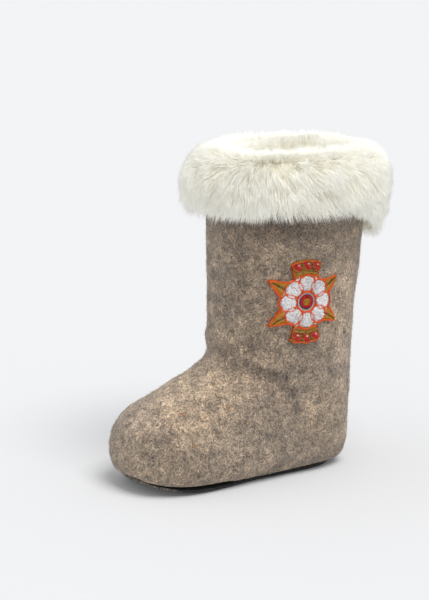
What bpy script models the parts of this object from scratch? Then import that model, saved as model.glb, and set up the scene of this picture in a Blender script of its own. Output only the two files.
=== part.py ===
"""Child's felted wool boot with a fur cuff, a thin rubber outsole, a felt insole and a raised
embroidered flower on its outer side.

Frame: X runs across the boot, the toe points along -Y, Z is up. The origin lies on the floor,
in the outsole's flat underside, midway along the foot. Sizes are in metres.
"""

import math
from collections import namedtuple

import bmesh
import bpy
import numpy as np
from mathutils import Vector

MM = 0.001

# Driving sizes of the felt boot, measured outside
FOOT_LENGTH = 182 * MM
BALL_WIDTH = 87 * MM
INSTEP_HEIGHT = 84 * MM
COLLAR_HEIGHT = 214 * MM
COLLAR_DEPTH = 119 * MM
COLLAR_WIDTH = 93.5 * MM
FELT_WALL = 5 * MM
FELT_UNDERFOOT = 8 * MM

# Outsole and insole
OUTSOLE_THICKNESS = 3.5 * MM
OUTSOLE_EDGE_ROUND = 1.0 * MM
TOE_SPRING = 9 * MM
TOE_SPRING_START = 0.70
INSOLE_THICKNESS = 4 * MM
INSOLE_EDGE_ROUND = 1.0 * MM
INSOLE_SIDE_EASE = 0.5 * MM
INSOLE_END_EASE = 1.0 * MM

# Fur cuff, turned over the collar's rim
CUFF_DROP = 22 * MM
CUFF_BACK_DIP = 26 * MM
CUFF_INSIDE_DROP = 14 * MM
CUFF_BULGE = 15 * MM
CUFF_RISE = 9 * MM
CUFF_INSIDE_BULGE = 9 * MM
LOCK_LENGTH = 16 * MM
LOCK_WIDTH = 15 * MM
LOCK_THICKNESS = 8 * MM

# Raised embroidery on the shaft's left side: a flower with leaves and berries
MOTIF_SPAN = 64 * MM
MOTIF_THICKNESS = 0.9 * MM
MOTIF_LEVEL = 1.324
MOTIF_BACK = 0.338

# Clearance between pieces that touch
SEAT_GAP = 0.3 * MM

# Fineness of the lofts
RING_POINTS = 32
BOOT_RINGS = 37
TURN_LENGTH = 20 * MM
RIM_STEPS = 3
SOLE_STATIONS = 25
LOCK_SIDES = 4
MOTIF_SPOKES = 64
MOTIF_RINGS = (0.40, 0.75, 1.0)

# Heights in levels: 0 is the floor, 1 the instep's bend and 2 the collar's rim
# Lengths along the foot, called back, are shares of its length measured from the heel's back
FootSection = namedtuple(
    "FootSection",
    "top_back top_level low_back low_level half_width widest top_square low_square",
)
FOOT_SECTIONS = (
    # The toe's tip, then upright sections as far as the ball
    FootSection(1.002, 0.285, 1.002, 0.285, 0.00, 0.50, 2.0, 2.2),
    FootSection(0.999, 0.378, 0.999, 0.208, 0.22, 0.49, 2.0, 2.2),
    FootSection(0.988, 0.480, 0.990, 0.124, 0.45, 0.48, 2.0, 2.3),
    FootSection(0.953, 0.592, 0.955, 0.070, 0.71, 0.45, 2.0, 2.6),
    FootSection(0.902, 0.675, 0.902, 0.038, 0.87, 0.42, 2.0, 3.0),
    FootSection(0.830, 0.745, 0.830, 0.018, 0.97, 0.41, 2.0, 3.4),
    FootSection(0.755, 0.815, 0.755, 0.010, 1.00, 0.40, 2.0, 3.6),
    FootSection(0.696, 0.872, 0.675, 0.010, 0.99, 0.40, 2.0, 3.6),
    # Sections that swing round the instep's bend, from the waist to the heel's back
    FootSection(0.656, 0.918, 0.500, 0.010, 0.96, 0.42, 2.0, 3.5),
    FootSection(0.629, 0.966, 0.315, 0.010, 0.92, 0.44, 2.0, 3.4),
    FootSection(0.611, 1.010, 0.140, 0.012, 0.89, 0.47, 2.0, 3.2),
    FootSection(0.602, 1.050, 0.056, 0.082, 0.89, 0.49, 2.0, 2.9),
    FootSection(0.597, 1.090, 0.034, 0.270, 0.92, 0.50, 2.05, 2.6),
    FootSection(0.592, 1.132, 0.018, 0.700, 0.96, 0.50, 2.1, 2.3),
)

ShaftSection = namedtuple("ShaftSection", "level middle_back depth width square")
SHAFT_SECTIONS = (
    ShaftSection(1.188, 0.294, 0.882, 0.934, 2.15),
    ShaftSection(1.303, 0.288, 0.901, 0.939, 2.15),
    ShaftSection(1.460, 0.280, 0.926, 0.954, 2.15),
    ShaftSection(1.753, 0.270, 0.964, 0.979, 2.15),
    ShaftSection(2.000, 0.2574, 1.000, 1.00, 2.15),
)

# The outsole's outline, as half-widths over half of the ball's width
SoleStation = namedtuple("SoleStation", "back half_width")
SOLE_STATIONS_TABLE = (
    SoleStation(0.098, 0.00),
    SoleStation(0.110, 0.28),
    SoleStation(0.138, 0.45),
    SoleStation(0.190, 0.57),
    SoleStation(0.270, 0.63),
    SoleStation(0.400, 0.65),
    SoleStation(0.540, 0.70),
    SoleStation(0.660, 0.79),
    SoleStation(0.765, 0.835),
    SoleStation(0.850, 0.79),
    SoleStation(0.910, 0.66),
    SoleStation(0.948, 0.45),
    SoleStation(0.964, 0.25),
    SoleStation(0.970, 0.00),
)

# Rows of fur locks round the cuff. Along is the place on the cuff's profile, 0 at its outer hem
# and 1 at its inner one; lean turns a lock's tip from straight out, at 0, down or up in degrees.
LockRow = namedtuple("LockRow", "along count lean droop length width")
LOCK_ROWS = (
    LockRow(0.10, 26, -40, 36, 0.66, 1.05),
    LockRow(0.23, 22, -32, 40, 0.88, 1.15),
    LockRow(0.37, 21, -10, 44, 0.88, 1.15),
    LockRow(0.54, 18, 38, 16, 0.70, 1.15),
    LockRow(0.72, 14, 94, -16, 0.56, 1.10),
)
LOCK_SINK = 3 * MM
LOCK_SEED = 7

# The motif's lobes round its centre: direction in degrees, 0 towards the toe and 90 up, and
# lengths as shares of half of its span. A round lobe is a disc, and a leaf comes to a point,
# where its radius is none and its spread is half of the point's angle.
MotifLobe = namedtuple("MotifLobe", "kind count first step reach radius spread")
MOTIF_LOBES = (
    MotifLobe("petals", 8, 0, 45, 0.40, 0.21, None),
    MotifLobe("front leaves", 2, -32, 64, 0.96, None, 24),
    MotifLobe("back leaves", 2, 148, 64, 0.96, None, 24),
    MotifLobe("upper berries", 3, 74, 16, 0.79, 0.13, None),
    MotifLobe("lower berries", 3, 254, 16, 0.79, 0.13, None),
)


def height_of(level):
    """Height above the floor of a level: 0 the floor, 1 the instep, 2 the collar."""
    if level <= 1:
        return level * INSTEP_HEIGHT
    return INSTEP_HEIGHT + (level - 1) * (COLLAR_HEIGHT - INSTEP_HEIGHT)


def along_foot(back):
    """Y of a place along the foot, given as a share of its length from the heel's back."""
    return FOOT_LENGTH * (0.5 - back)


def spring_at(back):
    """How far the toe spring lifts the sole at a place along the foot."""
    share = (back - TOE_SPRING_START) / (1 - TOE_SPRING_START)
    return TOE_SPRING * max(share, 0.0) ** 2


def felt_seat_at(y):
    """Lowest height of the felt at y: it rests on the outsole."""
    back = 0.5 - y / FOOT_LENGTH
    return OUTSOLE_THICKNESS + SEAT_GAP + spring_at(back)


def blended_row(rows, position):
    """Values of a table's rows at a fractional row number, on a Catmull-Rom curve."""
    table = np.array(rows, float)
    first = 2 * table[0] - table[1]
    last = 2 * table[-1] - table[-2]
    table = np.vstack([first, table, last])
    row = min(int(position), len(rows) - 2)
    t = position - row
    a, b, c, d = table[row : row + 4]
    return 0.5 * (
        2 * b + (c - a) * t + (2 * a - 5 * b + 4 * c - d) * t**2 + (3 * b - a - 3 * c + d) * t**3
    )


def boot_sections():
    """Every section as (top y, top z, low y, low z, half width, widest, two squarenesses)."""
    rows = [
        (
            along_foot(s.top_back),
            height_of(s.top_level),
            along_foot(s.low_back),
            height_of(s.low_level),
            s.half_width * BALL_WIDTH / 2,
            s.widest,
            s.top_square,
            s.low_square,
        )
        for s in FOOT_SECTIONS
    ]
    for s in SHAFT_SECTIONS:
        middle = along_foot(s.middle_back)
        reach = s.depth * COLLAR_DEPTH / 2
        height = height_of(s.level)
        half_width = s.width * COLLAR_WIDTH / 2
        rows.append((middle - reach, height, middle + reach, height, half_width, 0.5, s.square, s.square))
    return rows


def section_ring(values):
    """Points round one section, from its right side over the top, the left side and the bottom."""
    top_y, top_z, low_y, low_z, half_width, widest, top_square, low_square = values
    top = Vector((0, top_y, top_z))
    low = Vector((0, low_y, low_z))
    middle = low.lerp(top, widest)
    points = []
    for turn in ring_turns():
        across, up = math.cos(turn), math.sin(turn)
        square, end = (top_square, top) if up >= 0 else (low_square, low)
        side = math.copysign(abs(across) ** (2 / square), across) * half_width
        rise = abs(up) ** (2 / square)
        point = middle.lerp(end, rise) + Vector((side, 0, 0))
        point.z = max(point.z, felt_seat_at(point.y))
        points.append(point)
    return points


def even_positions(rows, count):
    """Fractional row numbers that space the sections along the boot's outline: by the way that
    their ends and sides go, and closer together where the outline turns."""
    fine = np.linspace(0, len(rows) - 1, 60 * len(rows))
    ends = np.array([blended_row(rows, p)[:5] for p in fine])
    steps = np.diff(ends, axis=0)
    travel = np.abs(steps[:, 4])
    for y, z in ((0, 1), (2, 3)):
        heading = np.unwrap(np.arctan2(steps[:, z], steps[:, y]))
        turned = np.abs(np.diff(heading, prepend=heading[0]))
        travel += np.hypot(steps[:, y], steps[:, z]) + TURN_LENGTH * turned
    travelled = np.concatenate([[0], np.cumsum(travel)])
    return np.interp(np.linspace(0, travelled[-1], count), travelled, fine)


def shaft_section(height):
    """Values of the shaft's level section at a height; above the rim, the rim's own section."""
    rows = boot_sections()
    positions = np.linspace(len(FOOT_SECTIONS), len(rows) - 1, 60)
    heights = [blended_row(rows, p)[1] for p in positions]
    return blended_row(rows, np.interp(height, heights, positions))


def collar_point(turn, outward, height, values):
    """A point beside the shaft's outside at a turn round its section, and the way it faces."""
    front_y, _, back_y, _, half_width, _, square, _ = values
    reach = (back_y - front_y) / 2
    across, along = math.cos(turn), math.sin(turn)
    side = math.copysign(abs(across) ** (2 / square), across)
    front = math.copysign(abs(along) ** (2 / square), along)
    normal = Vector(
        (
            math.copysign(abs(side) ** (square - 1), side) / half_width,
            -math.copysign(abs(front) ** (square - 1), front) / reach,
            0,
        )
    ).normalized()
    point = Vector((side * half_width, (front_y + back_y) / 2 - front * reach, height))
    return point + normal * outward, normal


def ring_turns():
    return [2 * math.pi * i / RING_POINTS for i in range(RING_POINTS)]


def ring_normals(rings, sections):
    """Outward unit normals of the boot's points: from their neighbours, or level on the shaft."""
    grid = np.array([[list(p) for p in ring] for ring in rings])
    along = np.gradient(grid, axis=0)
    around = np.roll(grid, -1, axis=1) - np.roll(grid, 1, axis=1)
    normals = np.cross(along, around)
    normals /= np.maximum(np.linalg.norm(normals, axis=2, keepdims=True), 1e-12)
    shaft_foot = height_of(SHAFT_SECTIONS[0].level)
    for row, values in enumerate(sections):
        if values[1] > shaft_foot and values[3] > shaft_foot:
            normals[row] = [collar_point(t, 0, values[1], values)[1] for t in ring_turns()]
    return normals


def wall_at(normal):
    """Thickness of the felt where its outside faces along this normal: more underfoot."""
    downness = min(max(-float(normal[2]), 0.0), 1.0)
    ease = downness * downness * (3 - 2 * downness)
    return FELT_WALL + (FELT_UNDERFOOT - FELT_WALL) * ease


def add_ring(mesh, points):
    return [mesh.verts.new(p) for p in points]


def bridge(mesh, first, second):
    """Quads between two rings of equal count."""
    count = len(first)
    for i in range(count):
        j = (i + 1) % count
        mesh.faces.new((first[i], first[j], second[j], second[i]))


def fan(mesh, tip, ring):
    """Triangles from a tip to the ring after it."""
    count = len(ring)
    for i in range(count):
        mesh.faces.new((tip, ring[(i + 1) % count], ring[i]))


def material(name, colour, roughness, metallic=0.0):
    made = bpy.data.materials.new(name)
    made.use_nodes = True
    shader = made.node_tree.nodes["Principled BSDF"]
    shader.inputs["Base Color"].default_value = (*colour, 1)
    shader.inputs["Roughness"].default_value = roughness
    shader.inputs["Metallic"].default_value = metallic
    made.diffuse_color = (*colour, 1)
    return made


def finish(mesh, name, finish_material, smooth_angle=50):
    """Turns a bmesh into the named object, with its faces pointing out."""
    bmesh.ops.recalc_face_normals(mesh, faces=mesh.faces)
    data = bpy.data.meshes.new(name)
    mesh.to_mesh(data)
    mesh.free()
    data.materials.append(finish_material)
    data.shade_smooth()
    data.set_sharp_from_angle(angle=math.radians(smooth_angle))
    made = bpy.data.objects.new(name, data)
    bpy.context.scene.collection.objects.link(made)
    return made


def make_upper(felt):
    """The seamless felt boot: foot and shaft in one wall, closed underfoot and open at the collar."""
    rows = boot_sections()
    positions = even_positions(rows, BOOT_RINGS)
    sections = [blended_row(rows, p) for p in positions]
    rings = [section_ring(s) for s in sections]
    normals = ring_normals(rings, sections)
    inner = [
        [p - Vector(n) * wall_at(n) for p, n in zip(ring, ring_normal)]
        for ring, ring_normal in zip(rings, normals)
    ]
    mesh = bmesh.new()
    toe = Vector((0, sections[0][0], sections[0][1]))
    outer_tip = mesh.verts.new(toe)
    inner_tip = mesh.verts.new(toe + Vector((0, FELT_WALL, 0)))
    outer_rings = [add_ring(mesh, ring) for ring in rings[1:]]
    inner_rings = [add_ring(mesh, ring) for ring in inner[1:]]
    fan(mesh, outer_tip, outer_rings[0])
    fan(mesh, inner_tip, inner_rings[0])
    for chain in (outer_rings, inner_rings):
        for first, second in zip(chain, chain[1:]):
            bridge(mesh, first, second)
    last = outer_rings[-1]
    for step in range(1, RIM_STEPS):
        turn = math.pi * step / RIM_STEPS
        rim = []
        for outside, inside in zip(rings[-1], inner[-1]):
            middle = (outside + inside) / 2
            out = (outside - inside) / 2
            rim.append(middle + out * math.cos(turn) + Vector((0, 0, out.length * math.sin(turn))))
        ring = add_ring(mesh, rim)
        bridge(mesh, last, ring)
        last = ring
    bridge(mesh, last, inner_rings[-1])
    return finish(mesh, "felt_upper", felt)


def outline_half_width(back):
    """Half-width of the outsole's outline at a share of the foot's length."""
    backs = [s.back for s in SOLE_STATIONS_TABLE]
    row = int(np.searchsorted(backs, back)) - 1
    row = min(max(row, 0), len(backs) - 2)
    share = (back - backs[row]) / (backs[row + 1] - backs[row])
    return max(blended_row(SOLE_STATIONS_TABLE, row + share)[1], 0.0) * BALL_WIDTH / 2


def sole_rows():
    """Places along the sole, closer together at its round ends."""
    start, end = SOLE_STATIONS_TABLE[0].back, SOLE_STATIONS_TABLE[-1].back
    turns = [math.pi * i / (SOLE_STATIONS - 1) for i in range(SOLE_STATIONS)]
    return [start + (end - start) * (1 - math.cos(t)) / 2 for t in turns]


def make_plate(name, base, thickness, edge_round, side_inset, end_inset, finish_material):
    """A sole plate with rounded edges, lying at the height base. The insets are how far its
    outline stays inside the outsole's, at the ball and at the toe and heel."""
    backs = sole_rows()
    middle = (backs[0] + backs[-1]) / 2
    ball = max(outline_half_width(back) for back in backs)
    narrower = 1 - side_inset / ball
    shorter = 1 - end_inset / (FOOT_LENGTH * (backs[-1] - middle))
    outline = []
    for back in backs:
        place = middle + (back - middle) * shorter
        outline.append((outline_half_width(back) * narrower, place))
    right = [(w, b) for w, b in outline]
    left = [(-w, b) for w, b in reversed(outline[1:-1])]
    edge = right + left
    mesh = bmesh.new()
    levels = (
        (0.0, edge_round),
        (edge_round, 0.0),
        (thickness - edge_round, 0.0),
        (thickness, edge_round),
    )
    widest = BALL_WIDTH / 2
    rings = []
    for height, inset in levels:
        ring = []
        for x, back in edge:
            y = along_foot(back)
            centre_y = along_foot(middle)
            shrink_x = 1 - inset / widest
            shrink_y = 1 - inset / (FOOT_LENGTH / 2)
            point = (x * shrink_x, centre_y + (y - centre_y) * shrink_y)
            lift = base + spring_at(back)
            ring.append(mesh.verts.new((point[0], point[1], lift + height)))
        rings.append(ring)
    for first, second in zip(rings, rings[1:]):
        bridge(mesh, first, second)
    for ring in (rings[0], rings[-1]):
        count = len(ring)
        mesh.faces.new((ring[0], ring[1], ring[count - 1]))
        for i in range(1, count // 2 - 1):
            mesh.faces.new((ring[i], ring[i + 1], ring[count - i - 1], ring[count - i]))
        half = count // 2
        mesh.faces.new((ring[half - 1], ring[half], ring[half + 1]))
    return finish(mesh, name, finish_material)


def cuff_profile(turn):
    """The cuff's section at a turn round the shaft, as (outward from the felt's outside, height):
    from its outer hem round the pile, over the rim and down inside. Then it returns along the
    felt. The hem hangs lowest at the back, where the strip's ends meet."""
    rim = COLLAR_HEIGHT + FELT_WALL / 2
    drop = CUFF_DROP + CUFF_BACK_DIP * min(math.sin(turn), 0) ** 2
    hem = COLLAR_HEIGHT - drop
    inside = -FELT_WALL
    pile = [
        (0.25 * CUFF_BULGE, hem - 0.05 * drop),
        (0.70 * CUFF_BULGE, hem + 0.02 * drop),
        (0.94 * CUFF_BULGE, hem + 0.20 * drop),
        (1.00 * CUFF_BULGE, hem + 0.45 * drop),
        (0.94 * CUFF_BULGE, hem + 0.64 * drop),
        (0.76 * CUFF_BULGE, hem + 0.83 * drop),
        (0.46 * CUFF_BULGE, hem + 0.97 * drop),
        (0.14 * CUFF_BULGE, rim + 0.34 * CUFF_RISE),
        (0.8 * inside, rim + 0.82 * CUFF_RISE),
        (inside - 0.40 * CUFF_INSIDE_BULGE, rim + CUFF_RISE),
        (inside - 0.80 * CUFF_INSIDE_BULGE, rim + 0.70 * CUFF_RISE),
        (inside - CUFF_INSIDE_BULGE, rim + 0.10 * CUFF_RISE),
        (inside - 0.96 * CUFF_INSIDE_BULGE, rim - 0.50 * CUFF_INSIDE_DROP),
        (inside - 0.55 * CUFF_INSIDE_BULGE, rim - CUFF_INSIDE_DROP),
    ]
    back = [
        (inside - SEAT_GAP, rim - CUFF_INSIDE_DROP),
        (inside - SEAT_GAP, rim + SEAT_GAP),
        (SEAT_GAP, rim + SEAT_GAP),
        (SEAT_GAP, COLLAR_HEIGHT),
        (SEAT_GAP, COLLAR_HEIGHT - drop / 2),
        (SEAT_GAP, hem),
    ]
    return pile, back


def profile_place(pile, along):
    """Place on the pile's profile at a share of its length: (outward, height)."""
    points = np.array(pile)
    lengths = np.concatenate([[0], np.cumsum(np.linalg.norm(np.diff(points, axis=0), axis=1))])
    target = along * lengths[-1]
    return np.interp(target, lengths, points[:, 0]), np.interp(target, lengths, points[:, 1])


def add_lock(mesh, turn, row, jitter):
    """One tapered lock of fur, rooted in the cuff and bent at its middle."""
    outward, height = profile_place(cuff_profile(turn)[0], row.along)
    root, normal = collar_point(turn, outward, height, shaft_section(height))
    lean = math.radians(row.lean + 10 * jitter[0])
    bent = lean - math.radians(row.droop)
    sideways = Vector((-normal.y, normal.x, 0))
    start = normal * math.cos(lean) + Vector((0, 0, math.sin(lean)))
    end = normal * math.cos(bent) + Vector((0, 0, math.sin(bent)))
    end = (end + sideways * 0.22 * jitter[1]).normalized()
    length = LOCK_LENGTH * row.length * (1 + 0.16 * jitter[2])
    half_width = LOCK_WIDTH * row.width / 2
    root = root - start * LOCK_SINK
    places = ((0.0, 0.70), (0.38, 1.00), (0.74, 0.62))
    rings = []
    middle = root + start * (length * 0.38)
    for share, swell in places:
        if share <= 0.38:
            centre = root + start * (length * share)
            forward = start
        else:
            centre = middle + end * (length * (share - 0.38))
            forward = (start + end).normalized()
        thick = forward.cross(sideways).normalized()
        ring = []
        for k in range(LOCK_SIDES):
            angle = 2 * math.pi * k / LOCK_SIDES
            offset = sideways * (math.cos(angle) * half_width * swell)
            offset += thick * (math.sin(angle) * LOCK_THICKNESS / 2 * swell)
            ring.append(centre + offset)
        rings.append(add_ring(mesh, ring))
    tip = mesh.verts.new(middle + end * (length * 0.72))
    for first, second in zip(rings, rings[1:]):
        bridge(mesh, first, second)
    mesh.faces.new(rings[0])
    fan(mesh, tip, rings[-1])


def make_cuff(fur):
    """The fur cuff: a thick pile over the collar's rim, with its locks fused on."""
    mesh = bmesh.new()
    columns = []
    for turn in ring_turns():
        pile, back = cuff_profile(turn)
        columns.append([collar_point(turn, out, z, shaft_section(z))[0] for out, z in pile + back])
    rings = [add_ring(mesh, ring) for ring in zip(*columns)]
    for first, second in zip(rings, rings[1:] + rings[:1]):
        bridge(mesh, first, second)
    cuff = finish(mesh, "fur_cuff", fur)

    locks = bmesh.new()
    chance = np.random.default_rng(LOCK_SEED)
    for number, row in enumerate(LOCK_ROWS):
        for i in range(row.count):
            jitter = chance.uniform(-1, 1, 4)
            turn = 2 * math.pi * (i + 0.5 * (number % 2) + 0.22 * jitter[3]) / row.count
            add_lock(locks, turn, row, jitter)
    cutter = finish(locks, "fur_locks", fur)
    cutter.hide_render = True
    cutter.display_type = "WIRE"
    union = cuff.modifiers.new("locks", "BOOLEAN")
    union.operation = "UNION"
    union.object = cutter
    union.use_self = True
    return cuff


def motif_radius(direction):
    """How far the motif's outline lies from its centre, in a direction given in degrees."""
    reach = 0.0
    for lobe in MOTIF_LOBES:
        for i in range(lobe.count):
            off = math.radians((direction - lobe.first - i * lobe.step + 180) % 360 - 180)
            if abs(off) >= math.pi / 2:
                continue
            if lobe.radius is None:
                point = math.radians(lobe.spread)
                reach = max(reach, lobe.reach * math.sin(point) / math.sin(point + abs(off)))
            elif lobe.radius > lobe.reach * abs(math.sin(off)):
                chord = math.sqrt(lobe.radius**2 - (lobe.reach * math.sin(off)) ** 2)
                reach = max(reach, lobe.reach * math.cos(off) + chord)
    return reach * MOTIF_SPAN / 2


def side_point(y, height, outward):
    """A point over the shaft's left side, straight out from the felt by the distance outward."""
    front_y, _, back_y, _, half_width, _, square, _ = shaft_section(height)
    reach = (back_y - front_y) / 2
    share = (y - (front_y + back_y) / 2) / reach
    side = max(1 - abs(share) ** square, 0.0) ** (1 / square)
    slope = (math.copysign(abs(share) ** (square - 1), share) / reach, side ** (square - 1) / half_width)
    normal = Vector((slope[1], slope[0], 0)).normalized()
    return Vector((side * half_width, y, height)) + normal * outward


def make_motif(threads):
    """The embroidery as one low raised form, which follows the felt under it."""
    centre_y = along_foot(MOTIF_BACK)
    centre_z = height_of(MOTIF_LEVEL)
    mesh = bmesh.new()
    faces = []
    for outward in (SEAT_GAP, SEAT_GAP + MOTIF_THICKNESS):
        middle = mesh.verts.new(side_point(centre_y, centre_z, outward))
        rings = []
        for share in MOTIF_RINGS:
            ring = []
            for i in range(MOTIF_SPOKES):
                direction = 360 * i / MOTIF_SPOKES
                out = share * motif_radius(direction)
                y = centre_y - out * math.cos(math.radians(direction))
                z = centre_z + out * math.sin(math.radians(direction))
                ring.append(mesh.verts.new(side_point(y, z, outward)))
            rings.append(ring)
        fan(mesh, middle, rings[0])
        for first, second in zip(rings, rings[1:]):
            bridge(mesh, first, second)
        faces.append(rings[-1])
    bridge(mesh, *faces)
    return finish(mesh, "embroidered_motif", threads)


def clear_scene():
    for old in list(bpy.data.objects):
        bpy.data.objects.remove(old)


def main():
    clear_scene()
    felt = material("grey_beige_wool_felt", (0.42, 0.36, 0.29), 0.95)
    rubber = material("black_porous_rubber", (0.018, 0.018, 0.02), 0.85)
    insole_felt = material("pale_wool_insole_felt", (0.62, 0.58, 0.50), 0.95)
    fur = material("white_fur", (0.86, 0.85, 0.79), 0.9)
    threads = material("flower_embroidery_threads", (0.78, 0.74, 0.70), 0.55)
    make_upper(felt)
    make_plate("outsole", 0.0, OUTSOLE_THICKNESS, OUTSOLE_EDGE_ROUND, 0.0, 0.0, rubber)
    make_plate(
        "insole",
        OUTSOLE_THICKNESS + FELT_UNDERFOOT + 2 * SEAT_GAP,
        INSOLE_THICKNESS,
        INSOLE_EDGE_ROUND,
        FELT_WALL + INSOLE_SIDE_EASE,
        FELT_WALL + FELT_UNDERFOOT + INSOLE_END_EASE,
        insole_felt,
    )
    make_cuff(fur)
    make_motif(threads)


if __name__ == "__main__":
    main()
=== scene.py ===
"""The looks of a child's felt boot: coarse wool felt, a long white fur cuff, a raised embroidered
flower, a thin rough rubber sole and a pale felt insole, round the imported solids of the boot.

The toe points along -Y, X runs across the boot and Z is up. Sizes are in metres, written in
millimetres times MM.
"""

import logging
import math
from dataclasses import dataclass, field
from enum import Enum
from typing import Callable

import bmesh
import bpy
import numpy as np
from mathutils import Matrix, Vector
from mathutils.bvhtree import BVHTree

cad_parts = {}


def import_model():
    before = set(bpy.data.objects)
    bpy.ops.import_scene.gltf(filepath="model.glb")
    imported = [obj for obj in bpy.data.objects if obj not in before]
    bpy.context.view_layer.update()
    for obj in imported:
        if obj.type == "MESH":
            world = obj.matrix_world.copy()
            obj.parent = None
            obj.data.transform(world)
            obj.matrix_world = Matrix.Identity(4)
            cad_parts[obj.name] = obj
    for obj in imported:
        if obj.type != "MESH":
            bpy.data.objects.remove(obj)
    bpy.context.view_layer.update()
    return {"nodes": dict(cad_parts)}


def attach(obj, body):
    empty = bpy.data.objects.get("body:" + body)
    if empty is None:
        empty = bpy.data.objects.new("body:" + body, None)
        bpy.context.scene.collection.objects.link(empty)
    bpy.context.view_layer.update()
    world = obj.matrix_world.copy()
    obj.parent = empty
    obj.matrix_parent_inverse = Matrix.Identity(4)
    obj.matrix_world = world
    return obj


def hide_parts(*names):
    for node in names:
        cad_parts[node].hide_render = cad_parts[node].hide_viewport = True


MM = 0.001
LOG = logging.getLogger("felt_boot")
Colour = tuple[float, float, float]
Array = np.ndarray
Chance = np.random.Generator
Material = bpy.types.Material
Mesh = bpy.types.Mesh
Node = bpy.types.Node
Object = bpy.types.Object
Socket = bpy.types.NodeSocket
Tree = bpy.types.NodeTree
DAYLIGHT: Colour = (0.985, 0.992, 1.0)
GOLDEN_SHARE = 0.6180339887
CORNER_FACTORS = np.array((73856093, 19349663, 83492791))
SEED_FACTOR = 2654435
MIXING_FACTOR = 1274126177
LOW_BITS = 0xFFFFFF


# Numbers and curves


def smooth_step(values: Array, low: float, high: float) -> Array:
    """Eases values from 0 at low to 1 at high.

    Args:
        values: The numbers to ease.
        low: Where the result leaves 0.
        high: Where the result reaches 1.

    Returns:
        An array like values, between 0 and 1.
    """
    share = np.clip((values - low) / (high - low), 0.0, 1.0)
    return share * share * (3.0 - 2.0 * share)


def soft_noise(points: Array, size: float, seed: int) -> Array:
    """Smooth random values in space, blended between the corners of a lattice.

    Args:
        points: Places, one row of three lengths each.
        size: Edge of the lattice's cubes.
        seed: Which pattern is made.

    Returns:
        One value between -1 and 1 for each place.
    """
    scaled = points / size + 1000.0
    corner = np.floor(scaled).astype(np.int64)
    part = scaled - corner
    part = part * part * (3.0 - 2.0 * part)
    total = np.zeros(len(points))
    for offset in np.ndindex(2, 2, 2):
        scrambled = (corner + offset[::-1]) * CORNER_FACTORS
        mixed = np.bitwise_xor.reduce(scrambled, axis=1) ^ seed * SEED_FACTOR
        mixed = (mixed ^ (mixed >> 13)) * MIXING_FACTOR & LOW_BITS
        weight = np.prod(np.where(np.array(offset[::-1]) == 1, part, 1.0 - part), axis=1)
        total += weight * (mixed / (LOW_BITS // 2) - 1.0)
    return total


def unit(vectors: Array) -> Array:
    """The vectors of an array's last axis, each made one long."""
    length = np.linalg.norm(vectors, axis=-1, keepdims=True)
    return vectors / np.maximum(length, 1e-9)


def sideways_of(directions: Array) -> Array:
    """Unit vectors across each direction, chosen so that they never vanish."""
    helper = np.where(np.abs(directions[..., 2:3]) < 0.9, (0.0, 0.0, 1.0), (1.0, 0.0, 0.0))
    return unit(np.cross(directions, helper))


def axes_towards(direction: float) -> tuple[Array, Array]:
    """Two unit vectors in a plane.

    Args:
        direction: Where the first one points, in degrees.

    Returns:
        The first vector, and the one a quarter turn beyond it.
    """
    angle = math.radians(direction)
    ahead = np.array([math.cos(angle), math.sin(angle)])
    return ahead, np.array([-ahead[1], ahead[0]])


# Meshes


def object_of(mesh: Mesh, name: str) -> Object:
    """Puts a mesh in the scene, at the origin.

    Args:
        mesh: The mesh.
        name: Name of the mesh and of its object.

    Returns:
        The new object.
    """
    mesh.name = name
    made = bpy.data.objects.new(name, mesh)
    bpy.context.scene.collection.objects.link(made)
    return made


def object_of_shape(shape: bmesh.types.BMesh, name: str) -> Object:
    """Puts a finished bmesh in the scene and frees it.

    Args:
        shape: The bmesh.
        name: Name of its mesh and of its object.

    Returns:
        The new object.
    """
    mesh = bpy.data.meshes.new(name)
    shape.to_mesh(mesh)
    shape.free()
    return object_of(mesh, name)


def read_rows(rows: bpy.types.bpy_prop_collection, name: str) -> Array:
    """Reads a value of three numbers from each item of a mesh.

    Args:
        rows: The items, such as the vertices.
        name: Name of the value.

    Returns:
        One row of three numbers for each item.
    """
    flat = np.empty(len(rows) * 3, np.float32)
    rows.foreach_get(name, flat)
    return flat.reshape(-1, 3).astype(float)


def points_of(mesh: Mesh) -> Array:
    """The places of a mesh's vertices, one row each."""
    return read_rows(mesh.vertices, "co")


def normals_of(mesh: Mesh) -> Array:
    """The smooth normals of a mesh's vertices, one row each."""
    return read_rows(mesh.vertex_normals, "vector")


def move_points(mesh: Mesh, points: Array) -> None:
    """Puts a mesh's vertices at the given places."""
    mesh.vertices.foreach_set("co", points.astype(np.float32).ravel())
    mesh.update()


def write_values(mesh: Mesh, name: str, values: Array) -> None:
    """Stores one number at each vertex of a mesh, for its material to read."""
    layer = mesh.attributes.new(name, "FLOAT", "POINT")
    layer.data.foreach_set("value", values.astype(np.float32))


def write_evenly(mesh: Mesh, tone: float, along: float) -> None:
    """Gives a whole mesh the tone and the place along a strand that strands' finishes read."""
    for name, value in (("tone", tone), ("along", along)):
        write_values(mesh, name, np.full(len(mesh.vertices), value))


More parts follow.
